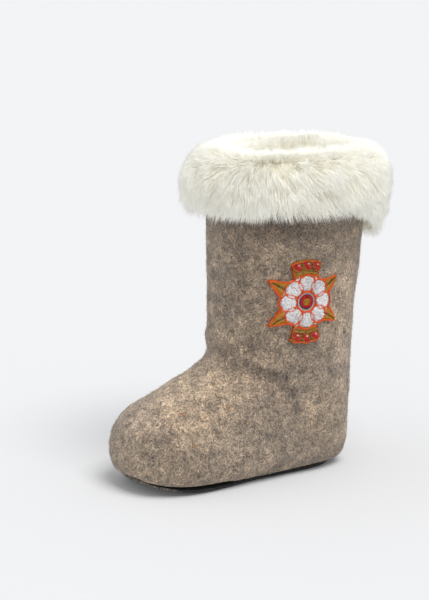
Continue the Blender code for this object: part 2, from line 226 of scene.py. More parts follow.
def smooth_copy(node: Object, name: str, levels: int) -> Object:
    """A finer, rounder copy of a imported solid.

    Args:
        node: The solid's object.
        name: Name of the copy.
        levels: How many times its faces are divided.

    Returns:
        The copy, as an object with no modifiers.
    """
    shape = bmesh.new()
    shape.from_mesh(node.data)
    bmesh.ops.remove_doubles(shape, verts=shape.verts, dist=0.001 * MM)
    bmesh.ops.join_triangles(
        shape,
        faces=shape.faces,
        angle_face_threshold=math.radians(40),
        angle_shape_threshold=math.radians(70),
    )
    holder = object_of_shape(shape, name + "_cage")
    finer = holder.modifiers.new("finer", "SUBSURF")
    finer.levels = finer.render_levels = levels
    graph = bpy.context.evaluated_depsgraph_get()
    mesh = bpy.data.meshes.new_from_object(holder.evaluated_get(graph))
    bpy.data.objects.remove(holder)
    mesh.materials.clear()
    mesh.shade_smooth()
    return object_of(mesh, name)


@dataclass
class Strands:
    """Many thin closed threads, hairs or fibres, made as one mesh.

    Each follows its own line: its first point is its root, its last is its tip, and round each
    point between them lies a small ring.

    Attributes:
        lines: Their points, as strands by points by three lengths.
        radii: Their half-thickness at the points between root and tip.
        tone: How light each strand is, from 0 to 1.
        finish: Which of the piece's materials each strand has.
        sides: How many corners each ring has.
    """

    lines: Array
    radii: Array
    tone: Array
    finish: Array | None = None
    sides: int = 3

    def build(self, name: str) -> Object:
        """Makes the mesh of all strands.

        Args:
            name: Name of the object.

        Returns:
            The object, with the values tone and along at its vertices.
        """
        count, steps = self.lines.shape[:2]
        forward = unit(self.lines[:, 2:] - self.lines[:, :-2])
        across = sideways_of(forward)
        upward = np.cross(forward, across)
        turns = 2.0 * math.pi * np.arange(self.sides) / self.sides
        spread = (
            across[:, :, None] * np.cos(turns)[None, None, :, None]
            + upward[:, :, None] * np.sin(turns)[None, None, :, None]
        )
        rings = self.lines[:, 1:-1, None] + spread * self.radii[:, :, None, None]
        rings = rings.reshape(count, -1, 3)
        points = np.concatenate([self.lines[:, :1], rings, self.lines[:, -1:]], axis=1)
        mesh = bpy.data.meshes.new(name)
        self._fill(mesh, points, self._faces(steps))
        along = np.linspace(0.0, 1.0, steps)
        along = np.concatenate([along[:1], np.repeat(along[1:-1], self.sides), along[-1:]])
        write_values(mesh, "along", np.tile(along, count))
        write_values(mesh, "tone", np.repeat(self.tone, points.shape[1]))
        return object_of(mesh, name)

    def _faces(self, steps: int) -> Array:
        """The triangles of one strand.

        Args:
            steps: How many points its line has.

        Returns:
            Three corners for each, as the numbers of the strand's own points.
        """
        rings = steps - 2
        tip = 1 + rings * self.sides
        faces = []
        for i in range(self.sides):
            j = (i + 1) % self.sides
            faces.append((0, 1 + j, 1 + i))
            for ring in range(rings - 1):
                low, high = 1 + ring * self.sides, 1 + (ring + 1) * self.sides
                faces.append((low + i, low + j, high + j))
                faces.append((low + i, high + j, high + i))
            last = 1 + (rings - 1) * self.sides
            faces.append((last + i, last + j, tip))
        return np.array(faces)

    def _fill(self, mesh: Mesh, points: Array, faces: Array) -> None:
        """Writes the points and triangles of every strand into a mesh.

        Args:
            mesh: The empty mesh.
            points: The points, as strands by points by three lengths.
            faces: The triangles of one strand.
        """
        count, each = points.shape[:2]
        corners = (faces[None] + each * np.arange(count)[:, None, None]).reshape(-1)
        total = count * len(faces)
        mesh.vertices.add(count * each)
        mesh.vertices.foreach_set("co", points.astype(np.float32).ravel())
        mesh.loops.add(total * 3)
        mesh.loops.foreach_set("vertex_index", corners.astype(np.int32))
        mesh.polygons.add(total)
        mesh.polygons.foreach_set("loop_start", np.arange(total, dtype=np.int32) * 3)
        if self.finish is not None:
            finishes = np.repeat(self.finish, len(faces)).astype(np.int32)
            mesh.polygons.foreach_set("material_index", finishes)
        mesh.update(calc_edges=True)
        mesh.shade_smooth()


# Shader boards and shared effects


@dataclass
class Board:
    """Lays nodes in a shader's tree and links them.

    Attributes:
        tree: The tree of the material or of the group.
    """

    tree: Tree

    def link(self, output: Socket, target: Socket) -> None:
        """Links a node's output to the input of another."""
        self.tree.links.new(output, target)

    def fill(self, target: Socket, value: object) -> None:
        """Links a socket to an input, or sets the input to a number or a colour.

        Args:
            target: The input.
            value: The socket, the number or the colour.
        """
        if isinstance(value, Socket):
            self.link(value, target)
        elif target.type == "RGBA":
            target.default_value = (*value, 1.0)
        else:
            target.default_value = value

    def put(
        self, kind: str, inputs: dict[str | int, object] | None = None, **settings: object
    ) -> Node:
        """Adds one node.

        Args:
            kind: The node's type.
            inputs: Sockets to link or values to set, by the input's name or number.
            **settings: The node's own settings.

        Returns:
            The node.
        """
        node = self.tree.nodes.new(kind)
        node.location = (200 * (len(self.tree.nodes) % 12), -260 * (len(self.tree.nodes) // 12))
        for name, value in settings.items():
            setattr(node, name, value)
        for name, value in (inputs or {}).items():
            self.fill(node.inputs[name], value)
        return node

    def sum(self, operation: str, *numbers: object) -> Socket:
        """The result of one arithmetic step on up to three numbers or sockets."""
        inputs = dict(enumerate(numbers))
        return self.put("ShaderNodeMath", inputs, operation=operation).outputs[0]

    def ease(
        self, value: Socket, low: float, high: float, start: float = 0.0, end: float = 1.0
    ) -> Socket:
        """Maps a value smoothly, from start where it is low to end where it is high."""
        inputs = {"Value": value, "From Min": low, "From Max": high, "To Min": start, "To Max": end}
        return self.put("ShaderNodeMapRange", inputs, interpolation_type="SMOOTHSTEP").outputs[0]

    def blend(self, share: object, first: object, second: object, how: str = "MIX") -> Socket:
        """Blends two colours.

        Args:
            share: How much of the second colour shows, as a number or a socket.
            first: The first colour or its socket.
            second: The second colour or its socket.
            how: The way they are blended.

        Returns:
            The socket of the blended colour.
        """
        node = self.put("ShaderNodeMix", data_type="RGBA", blend_type=how)
        sockets = [socket for socket in node.inputs if socket.enabled]
        for socket, value in zip(sockets, (share, first, second)):
            self.fill(socket, value)
        return next(socket for socket in node.outputs if socket.enabled)

    def dim(self, colour: object, factor: Socket) -> Socket:
        """A colour times a number that changes over the surface."""
        grey = self.put("ShaderNodeCombineColor", {0: factor, 1: factor, 2: factor}).outputs[0]
        return self.blend(1.0, colour, grey, "MULTIPLY")

    def noise(
        self, place: Socket, scale: object, detail: float = 2.0, distortion: float = 0.0
    ) -> Socket:
        """A field of smooth noise, at scale bumps a metre."""
        inputs = {"Vector": place, "Scale": scale, "Detail": detail, "Distortion": distortion}
        return self.put("ShaderNodeTexNoise", inputs).outputs[0]

    def here(self) -> Socket:
        """The place on the piece, in metres."""
        return self.put("ShaderNodeTexCoord").outputs["Object"]

    def moved(self, place: Socket, offset: tuple[float, float, float]) -> Socket:
        """A place shifted by an offset, so that two patterns don't match."""
        inputs = {0: place, 1: offset}
        return self.put("ShaderNodeVectorMath", inputs, operation="ADD").outputs[0]

    def value(self, name: str) -> Socket:
        """A number stored at the piece's vertices."""
        return self.put("ShaderNodeAttribute", attribute_name=name).outputs["Fac"]


class Effect(Enum):
    """The effects that several finishes share, by the names of their groups."""

    WOOL_FIBRES = "wool_fibres"
    TONE_DRIFT = "tone_drift"
    STRAND_SHADE = "strand_shade"


class Effects:
    """Builds each shared effect once and places it in materials."""

    def __init__(self) -> None:
        """Starts with no effect built."""
        self._built: dict[Effect, Tree] = {}
        self._makers: dict[Effect, Callable[[], Tree]] = {
            Effect.WOOL_FIBRES: self._wool_fibres,
            Effect.TONE_DRIFT: self._tone_drift,
            Effect.STRAND_SHADE: self._strand_shade,
        }

    def place(self, board: Board, effect: Effect, inputs: dict[str | int, object]) -> Node:
        """Adds an effect's group to a board.

        Args:
            board: The material's board.
            effect: Which effect.
            inputs: Its inputs, by name.

        Returns:
            The group's node, whose outputs have the effect's values.
        """
        if effect not in self._built:
            self._built[effect] = self._makers[effect]()
        return board.put("ShaderNodeGroup", inputs, node_tree=self._built[effect])

    def drift(self, board: Board, place: Socket, scale: float, depth: float) -> Node:
        """Adds a slow drift of brightness, at scale changes a metre, to a board."""
        inputs = {"Place": place, "Scale": scale, "Depth": depth}
        return self.place(board, Effect.TONE_DRIFT, inputs)

    def _new_group(
        self, effect: Effect, inputs: dict[str, tuple[str, object]], outputs: tuple[str, ...]
    ) -> tuple[Board, Node, Node]:
        """Starts a group with its named inputs and outputs.

        Args:
            effect: The effect that the group is for.
            inputs: Each input's name, with its socket type and its usual value or None.
            outputs: Names of the outputs, which are all numbers.

        Returns:
            The group's board, its input node and its output node.
        """
        tree = bpy.data.node_groups.new(effect.value, "ShaderNodeTree")
        for name, (kind, usual) in inputs.items():
            made = tree.interface.new_socket(name, in_out="INPUT", socket_type=kind)
            if usual is not None:
                made.default_value = usual
        for name in outputs:
            tree.interface.new_socket(name, in_out="OUTPUT", socket_type="NodeSocketFloat")
        board = Board(tree)
        return board, board.put("NodeGroupInput"), board.put("NodeGroupOutput")

    def _wool_fibres(self) -> Tree:
        """Curled light and dark fibres pressed into a mottled ground.

        Returns:
            The group.
        """
        board, start, end = self._new_group(
            Effect.WOOL_FIBRES,
            {"Place": ("NodeSocketVector", None), "Scale": ("NodeSocketFloat", 420.0)},
            ("Mottle", "Light Fibres", "Dark Fibres", "Height"),
        )
        place, scale = start.outputs["Place"], start.outputs["Scale"]
        fine = board.sum("MULTIPLY", scale, 2.6)
        wide = board.sum("MULTIPLY", scale, 0.55)
        mottle = board.sum("ADD", board.noise(place, fine), board.noise(place, scale, 2.0, 0.6))
        mottle = board.ease(board.sum("MULTIPLY", mottle, 0.5), 0.39, 0.61)
        lines = []
        for offset, how_wide, size in (
            ((0.0, 0.3, 0.7), 0.055, scale),
            ((0.6, 0.1, 0.2), 0.050, wide),
            ((0.4, 0.9, 0.5), 0.050, scale),
            ((0.8, 0.5, 0.1), 0.050, wide),
        ):
            curl = board.noise(board.moved(place, offset), size, 1.0, 1.4)
            ridge = board.sum("ABSOLUTE", board.sum("SUBTRACT", curl, 0.5))
            lines.append(board.ease(ridge, 0.0, how_wide, 1.0, 0.0))
        light = board.sum("MAXIMUM", lines[0], lines[1])
        dark = board.sum("MAXIMUM", lines[2], lines[3])
        height = board.sum("MULTIPLY_ADD", light, 0.7, board.sum("MULTIPLY", mottle, 0.6))
        for target, value in zip(end.inputs, (mottle, light, dark, height)):
            board.link(value, target)
        return board.tree

    def _tone_drift(self) -> Tree:
        """Broad, slow changes of brightness, as a factor near one.

        Returns:
            The group.
        """
        board, start, end = self._new_group(
            Effect.TONE_DRIFT,
            {
                "Place": ("NodeSocketVector", None),
                "Scale": ("NodeSocketFloat", 40.0),
                "Depth": ("NodeSocketFloat", 0.15),
            },
            ("Factor", "Drift"),
        )
        noise = board.noise(start.outputs["Place"], start.outputs["Scale"], 3.0, 0.4)
        drift = board.ease(noise, 0.3, 0.7)
        swing = board.sum("MULTIPLY_ADD", drift, 2.0, -1.0)
        factor = board.sum("MULTIPLY_ADD", swing, start.outputs["Depth"], 1.0)
        board.link(factor, end.inputs["Factor"])
        board.link(drift, end.inputs["Drift"])
        return board.tree

    def _strand_shade(self) -> Tree:
        """How bright a strand is: by its own tone, and darker towards its root as painted shade.

        Returns:
            The group.
        """
        board, start, end = self._new_group(
            Effect.STRAND_SHADE,
            {
                "Tone": ("NodeSocketFloat", 0.5),
                "Along": ("NodeSocketFloat", 0.5),
                "Root": ("NodeSocketFloat", 0.8),
                "Tip": ("NodeSocketFloat", 1.0),
                "Spread": ("NodeSocketFloat", 0.1),
            },
            ("Factor",),
        )
        reach = board.sum("SUBTRACT", start.outputs["Tip"], start.outputs["Root"])
        length = board.sum("MULTIPLY_ADD", start.outputs["Along"], reach, start.outputs["Root"])
        swing = board.sum("SUBTRACT", start.outputs["Tone"], 0.5)
        own = board.sum("MULTIPLY_ADD", swing, start.outputs["Spread"], 1.0)
        board.link(board.sum("MULTIPLY", length, own), end.inputs["Factor"])
        return board.tree


# Finishes


@dataclass(frozen=True)
class Finish:
    """A finish of the boot, on which the others build.

    Attributes:
        name: Name of its material.
        roughness: How matte it is.
        sheen: How much soft light its fuzz throws back.
        relief: How deep its relief is.
    """

    name: str
    roughness: float = 0.9
    sheen: float = 0.0
    relief: float = 0.02 * MM

    def _start(self) -> tuple[Material, Board, Node]:
        """Starts the finish's material.

        Returns:
            The material, its board, and its surface shader with the steady values set.
        """
        made = bpy.data.materials.new(self.name)
        made.use_nodes = True
        shader = made.node_tree.nodes["Principled BSDF"]
        shader.inputs["Roughness"].default_value = self.roughness
        shader.inputs["Sheen Weight"].default_value = self.sheen
        shader.inputs["Sheen Roughness"].default_value = 0.5
        return made, Board(made.node_tree), shader

    def _finish(self, board: Board, shader: Node, colour: Socket, height: Socket) -> None:
        """Links a finish's colour and its relief to its surface shader.

        Args:
            board: The material's board.
            shader: The surface shader.
            colour: The base colour.
            height: The relief, from 0 to 1.
        """
        inputs = {"Height": height, "Distance": self.relief, "Strength": 1.0}
        board.link(colour, shader.inputs["Base Color"])
        board.link(board.put("ShaderNodeBump", inputs).outputs[0], shader.inputs["Normal"])

    def _strand_factor(self, board: Board, effects: Effects, root: float, spread: float) -> Socket:
        """Each strand's brightness, with painted shade at its root; it reads tone and along at the
        vertices.

        Args:
            board: The material's board.
            effects: The shared effects.
            root: Brightness at the root, where the tip has 1.
            spread: How much the strands differ.

        Returns:
            The factor for the strand's colour.
        """
        tone, along = board.value("tone"), board.value("along")
        inputs = {"Tone": tone, "Along": along, "Root": root, "Spread": spread}
        return effects.place(board, Effect.STRAND_SHADE, inputs).outputs["Factor"]


@dataclass(frozen=True)
class FeltFinish(Finish):
    """Coarse heathered wool felt.

    Attributes:
        light: Colour of its pale wool.
        middle: Colour of most of it.
        dark: Colour of its dark wool.
        fibre: Colour of the palest fibres on it.
        scale: How many curls of fibre there are to the metre.
        light_share: How strongly the pale fibres show.
        dark_share: How strongly the dark fibres show.
        painted_light_tint: What its painted light multiplies the colour by.
        smudge_and_shade_tint: What its dark spots and its painted shade multiply the colour by.
        drifts: Broad, middling and small drifts of brightness: changes a metre, and depth.
    """

    roughness: float = 0.95
    sheen: float = 0.32
    relief: float = 0.35 * MM
    light: Colour = (0.56, 0.412, 0.278)
    middle: Colour = (0.330, 0.228, 0.151)
    dark: Colour = (0.075, 0.052, 0.041)
    fibre: Colour = (0.79, 0.645, 0.475)
    scale: float = 760.0
    light_share: float = 0.45
    dark_share: float = 0.50
    painted_light_tint: Colour = (1.36, 1.34, 1.27)
    smudge_and_shade_tint: Colour = (0.34, 0.33, 0.35)
    drifts: tuple[tuple[float, float], ...] = ((34.0, 0.17), (120.0, 0.27), (310.0, 0.24))

    def make(self, effects: Effects) -> Material:
        """Makes the felt's material, which reads at the vertices its dark spots with painted shade,
        and its painted light.

        Args:
            effects: The shared effects.

        Returns:
            The material.
        """
        made, board, shader = self._start()
        here = board.here()
        wool = effects.place(board, Effect.WOOL_FIBRES, {"Place": here, "Scale": self.scale})
        broad, spots, clumps = (effects.drift(board, here, *drift) for drift in self.drifts)
        mottle = wool.outputs["Mottle"]
        light_fibres = board.sum("MULTIPLY", wool.outputs["Light Fibres"], self.light_share)
        dark_fibres = board.sum("MULTIPLY", wool.outputs["Dark Fibres"], self.dark_share)
        colour = board.blend(board.ease(mottle, 0.0, 0.55), self.dark, self.middle)
        colour = board.blend(board.ease(mottle, 0.45, 1.0), colour, self.light)
        colour = board.blend(light_fibres, colour, self.fibre)
        colour = board.blend(dark_fibres, colour, self.dark)
        # Painted light: brighter on the top of the foot and where light falls on the shaft, the heel
        # and the toe.
        colour = board.blend(board.value("pale"), colour, self.painted_light_tint, "MULTIPLY")
        # Dark spots and painted shade, in the ankle crease and under the fur, broken up by a small
        # drift.
        ragged = board.ease(spots.outputs["Drift"], 0.1, 0.8, 0.35, 1.0)
        smudge_and_shade_share = board.sum("MULTIPLY", board.value("smudge_and_shade"), ragged)
        colour = board.blend(smudge_and_shade_share, colour, self.smudge_and_shade_tint, "MULTIPLY")
        factor = board.sum("MULTIPLY", broad.outputs["Factor"], spots.outputs["Factor"])
        factor = board.sum("MULTIPLY", factor, clumps.outputs["Factor"])
        self._finish(board, shader, board.dim(colour, factor), wool.outputs["Height"])
        return made


@dataclass(frozen=True)
class FibreFinish(Finish):
    """Loose wool fibres, from dark to pale by their own tone.

    Attributes:
        dark: Colour of the darkest fibres.
        light: Colour of the palest fibres.
    """

    roughness: float = 0.8
    sheen: float = 0.1
    dark: Colour = (0.10, 0.082, 0.068)
    light: Colour = (0.66, 0.58, 0.47)

    def make(self, effects: Effects) -> Material:
        """Makes the material of loose fibres.

        Args:
            effects: The shared effects.

        Returns:
            The material.
        """
        made, board, shader = self._start()
        colour = board.blend(board.value("tone"), self.dark, self.light)
        colour = board.dim(colour, self._strand_factor(board, effects, 0.85, 0.2))
        self._finish(board, shader, colour, board.noise(board.here(), 2500.0, 1.0))
        return made


@dataclass(frozen=True)
class FurFinish(Finish):
    """Long white fur, creamier at its roots and darker there, as painted shade deep in the pile.

    Attributes:
        tip: Colour of the hairs' ends.
        root: Colour near the skin: creamier, and darker as painted shade deep in the pile.
        glow: How strongly it glows with its own colour, painted light that stands in for the light
            the pile passes on inside itself.
    """

    roughness: float = 0.8
    tip: Colour = (0.91, 0.905, 0.845)
    root: Colour = (0.76, 0.72, 0.58)
    glow: float = 0.0

    def make(self, effects: Effects) -> Material:
        """Makes the fur's material.

        Args:
            effects: The shared effects.

        Returns:
            The material.
        """
        made, board, shader = self._start()
        here = board.here()
        drift = effects.drift(board, here, 55.0, 0.03)
        # Towards the roots the hair turns creamier and darker, the darkness painted shade deep in the
        # pile.
        colour = board.blend(board.ease(board.value("along"), 0.0, 0.75), self.root, self.tip)
        factor = self._strand_factor(board, effects, 0.90, 0.12)
        colour = board.dim(colour, board.sum("MULTIPLY", factor, drift.outputs["Factor"]))
        self._finish(board, shader, colour, board.noise(here, 1800.0, 1.0))
        # The hair glows with its own colour: painted light for the light that scatters through white
        # fur.
        board.link(colour, shader.inputs["Emission Color"])
        shader.inputs["Emission Strength"].default_value = self.glow
        return made


@dataclass(frozen=True)
class ThreadFinish(Finish):
    """Shiny embroidery thread.

    Attributes:
        colour: The thread's colour.
        spread: How much its stitches differ in brightness.
        shine: Strength of its mirror-like gleam.
    """

    roughness: float = 0.45
    relief: float = 0.04 * MM
    colour: Colour = (0.8, 0.8, 0.8)
    spread: float = 0.35
    shine: float = 0.38

    def make(self, effects: Effects) -> Material:
        """Makes the thread's material, with its twist as relief.

        Args:
            effects: The shared effects.

        Returns:
            The material.
        """
        made, board, shader = self._start()
        colour = board.dim(self.colour, self._strand_factor(board, effects, 0.96, self.spread))
        inputs = {"Vector": board.here(), "Scale": 900.0, "Distortion": 2.0}
        twist = board.put("ShaderNodeTexWave", inputs)
        self._finish(board, shader, colour, twist.outputs["Fac"])
        shader.inputs["Specular IOR Level"].default_value = self.shine
        return made


@dataclass(frozen=True)
class RubberFinish(Finish):
    """Rough porous black rubber, with wool caught in it at the toe.

    Attributes:
        colour: The rubber's colour.
        dust: Colour of what has rubbed off on it.
        wool: Colour of the wool caught at the toe.
    """

    roughness: float = 0.85
    relief: float = 0.25 * MM
    colour: Colour = (0.010, 0.010, 0.012)
    dust: Colour = (0.06, 0.056, 0.052)
    wool: Colour = (0.40, 0.34, 0.27)

    def make(self, effects: Effects) -> Material:
        """Makes the sole's material, which reads the value toe at the vertices.

        Args:
            effects: The shared effects.

        Returns:
            The material.
        """
        made, board, shader = self._start()
        here = board.here()
        pores = board.ease(board.noise(here, 900.0, 3.0), 0.40, 0.62)
        drift = effects.drift(board, here, 60.0, 0.4)
        wool = effects.place(board, Effect.WOOL_FIBRES, {"Place": here, "Scale": 600.0})
        dusty = board.sum("MULTIPLY", pores, drift.outputs["Drift"])
        tufts = board.ease(wool.outputs["Mottle"], 0.35, 0.75)
        colour = board.blend(dusty, self.colour, self.dust)
        colour = board.blend(board.sum("MULTIPLY", board.value("toe"), tufts), colour, self.wool)
        self._finish(board, shader, colour, board.sum("ADD", pores, wool.outputs["Height"]))
        return made


@dataclass(frozen=True)
class InsoleFinish(Finish):
    """Pale pressed felt, with a faint ribbed press.

    Attributes:
        colour: The felt's colour.
        shade: Colour of its darker wool.
    """

    roughness: float = 0.95
    sheen: float = 0.2
    relief: float = 0.25 * MM
    colour: Colour = (0.62, 0.57, 0.48)
    shade: Colour = (0.36, 0.32, 0.27)

    def make(self, effects: Effects) -> Material:
        """Makes the insole's material.

        Args:
            effects: The shared effects.

        Returns:
            The material.
        """
        made, board, shader = self._start()
        here = board.here()
        wool = effects.place(board, Effect.WOOL_FIBRES, {"Place": here, "Scale": 520.0})
        drift = effects.drift(board, here, 50.0, 0.08)
        colour = board.blend(wool.outputs["Mottle"], self.shade, self.colour)
        colour = board.dim(colour, drift.outputs["Factor"])
        self._finish(board, shader, colour, wool.outputs["Height"])
        return made


@dataclass(frozen=True)
class FloorFinish(Finish):
    """The studio's plain pale floor.

    Attributes:
        colour: The floor's colour.
        glow: How much light it gives back evenly, as a lit sweep does.
    """

    roughness: float = 1.0
    colour: Colour = (0.569, 0.576, 0.591)
    glow: float = 0.052

    def make(self, effects: Effects) -> Material:
        """Makes the floor's material, with unevenness too small to see as a pattern.

        Args:
            effects: The shared effects.

        Returns:
            The material.
        """
        made, board, shader = self._start()
        drift = effects.drift(board, board.here(), 2.0, 0.002)
        board.link(board.dim(self.colour, drift.outputs["Factor"]), shader.inputs["Base Color"])
        shader.inputs["Specular IOR Level"].default_value = 0.0
        shader.inputs["Emission Color"].default_value = (*DAYLIGHT, 1.0)
        shader.inputs["Emission Strength"].default_value = self.glow
        return made


# The boot's own form


@dataclass
class ShaftForm:
    """The outside of the boot's shaft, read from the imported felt.

    Attributes:
        heights: Heights at which it was read.
        fronts: How far forward it reaches at each, as Y.
        backs: How far back it reaches at each, as Y.
        half_widths: Half of its width at each.
        square: How square its oval is: 2 would be an ellipse.
    """

    heights: Array
    fronts: Array
    backs: Array
    half_widths: Array
    square: float = 2.15

    @classmethod
    def read(cls, felt: Object, lowest: float, highest: float, levels: int = 24) -> "ShaftForm":
        """Reads the form from the felt between two heights.

        Args:
            felt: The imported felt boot.
            lowest: The lowest height.
            highest: The highest height.
            levels: At how many heights it is read.

        Returns:
            The form.
        """
        points = points_of(felt.data)
        pairs = np.empty(len(felt.data.edges) * 2, np.int32)
        felt.data.edges.foreach_get("vertices", pairs)
        first, second = points[pairs[0::2]], points[pairs[1::2]]
        rows = []
        for height in np.linspace(lowest, highest, levels):
            crossing = (first[:, 2] - height) * (second[:, 2] - height) < 0
            low, high = first[crossing], second[crossing]
            share = (height - low[:, 2:3]) / (high[:, 2:3] - low[:, 2:3])
            cut = low + (high - low) * share
            rows.append((height, cut[:, 1].min(), cut[:, 1].max(), np.abs(cut[:, 0]).max()))
        return cls(*np.array(rows).T)

    def around(self, turns: Array, outward: Array, heights: Array) -> tuple[Array, Array]:
        """Places round the shaft.

        Args:
            turns: Angles round the oval, 0 at the outer side and a quarter turn at the front.
            outward: How far the places lie outside the felt.
            heights: Their heights.

        Returns:
            The places, and the unit vectors that point straight out from them.
        """
        front = np.interp(heights, self.heights, self.fronts)
        back = np.interp(heights, self.heights, self.backs)
        half = np.interp(heights, self.heights, self.half_widths)
        reach = (back - front) / 2
        across, along = np.cos(turns), np.sin(turns)
        side = np.sign(across) * np.abs(across) ** (2 / self.square)
        ahead = np.sign(along) * np.abs(along) ** (2 / self.square)
        normals = np.stack(
            [
                np.sign(side) * np.abs(side) ** (self.square - 1) / half,
                -np.sign(ahead) * np.abs(ahead) ** (self.square - 1) / reach,
                np.zeros_like(side),
            ],
            axis=-1,
        )
        normals = unit(normals)
        points = np.stack([side * half, (front + back) / 2 - ahead * reach, heights], axis=-1)
        return points + normals * np.asarray(outward)[..., None], normals


@dataclass(frozen=True)
class Fold:
    """A soft fold or crease across the felt, with its lengths in millimetres.

    Attributes:
        path: Points that it follows.
        depth: How deep its trough is.
        width: Half of the trough's width.
        ridge: How high the felt rises beside it.
    """

    path: tuple[tuple[float, float, float], ...]
    depth: float
    width: float
    ridge: float = 0.0

    def distance(self, points: Array) -> Array:
        """How far points lie from the fold's path.

        Args:
            points: The points, in metres.

        Returns:
            A length in metres for each.
        """
        nearest = np.full(len(points), np.inf)
        path = np.array(self.path) * MM
        for start, end in zip(path, path[1:]):
            way = end - start
            share = np.clip((points - start) @ way / (way @ way), 0.0, 1.0)
            away = np.linalg.norm(points - start - share[:, None] * way, axis=1)
            nearest = np.minimum(nearest, away)
        return nearest

    def lift(self, points: Array) -> Array:
        """How far the fold moves points outwards: down in its trough, up on its ridges.

        Args:
            points: The points, in metres.

        Returns:
            A length in metres for each.
        """
        away = self.distance(points) / (self.width * MM)
        ridges = self.ridge * np.exp(-((away - 2.0) ** 2))
        return (ridges - self.depth * np.exp(-(away**2))) * MM


def facing(azimuth: float, elevation: float) -> Vector:
    """The unit vector from the boot towards an azimuth and an elevation, in degrees."""
    turn, rise = math.radians(azimuth), math.radians(elevation)
    return Vector((math.sin(turn), -math.cos(turn), math.tan(rise))).normalized()


@dataclass(frozen=True)
class PhotoView:
    """The camera that took the photo, fitted to the boot's proportions.

    Attributes:
        target: The point that it looks at.
        azimuth: Its angle round the boot, in degrees.
        elevation: Its angle above the floor, in degrees.
        distance: How far it stands from the target.
        lens: Its focal length, in millimetres.
        frame: Width of its frame, in millimetres.
        width: Width of the photo, in pixels.
        height: Height of the photo, in pixels.
    """

    target: tuple[float, float, float] = (-7.25 * MM, -11.97 * MM, 122.3 * MM)
    azimuth: float = 58.8
    elevation: float = 12.5
    distance: float = 1.4
    lens: float = 170.2
    frame: float = 36.0
    width: int = 429
    height: int = 600

    def places(self, mesh: Mesh, picks: tuple[tuple[float, ...], ...]) -> Array:
        """Finds the points of a mesh that show at chosen pixels of the photo.

        Args:
            mesh: The mesh that is seen.
            picks: Rows that start with a pixel, counted from the upper left corner.

        Returns:
            The mesh's point for each row.
        """
        faces = [face.vertices[:] for face in mesh.polygons]
        tree = BVHTree.FromPolygons(points_of(mesh).tolist(), faces)
        toward = facing(self.azimuth, self.elevation)
        eye = Vector(self.target) + toward * self.distance
        right = Vector((-toward.y, toward.x, 0.0)).normalized()
        up = toward.cross(right)
        pixel = self.frame / (self.lens * self.width)
        points = []
        for column, row, *_ in picks:
            across = right * ((column - self.width / 2) * pixel)
            down = up * ((row - self.height / 2) * pixel)
            point = tree.ray_cast(eye, (across - down - toward).normalized())[0]
            if point is None:
                raise ValueError(f"Nothing shows at pixel {column}, {row}")
            points.append(point)
        return np.array(points)


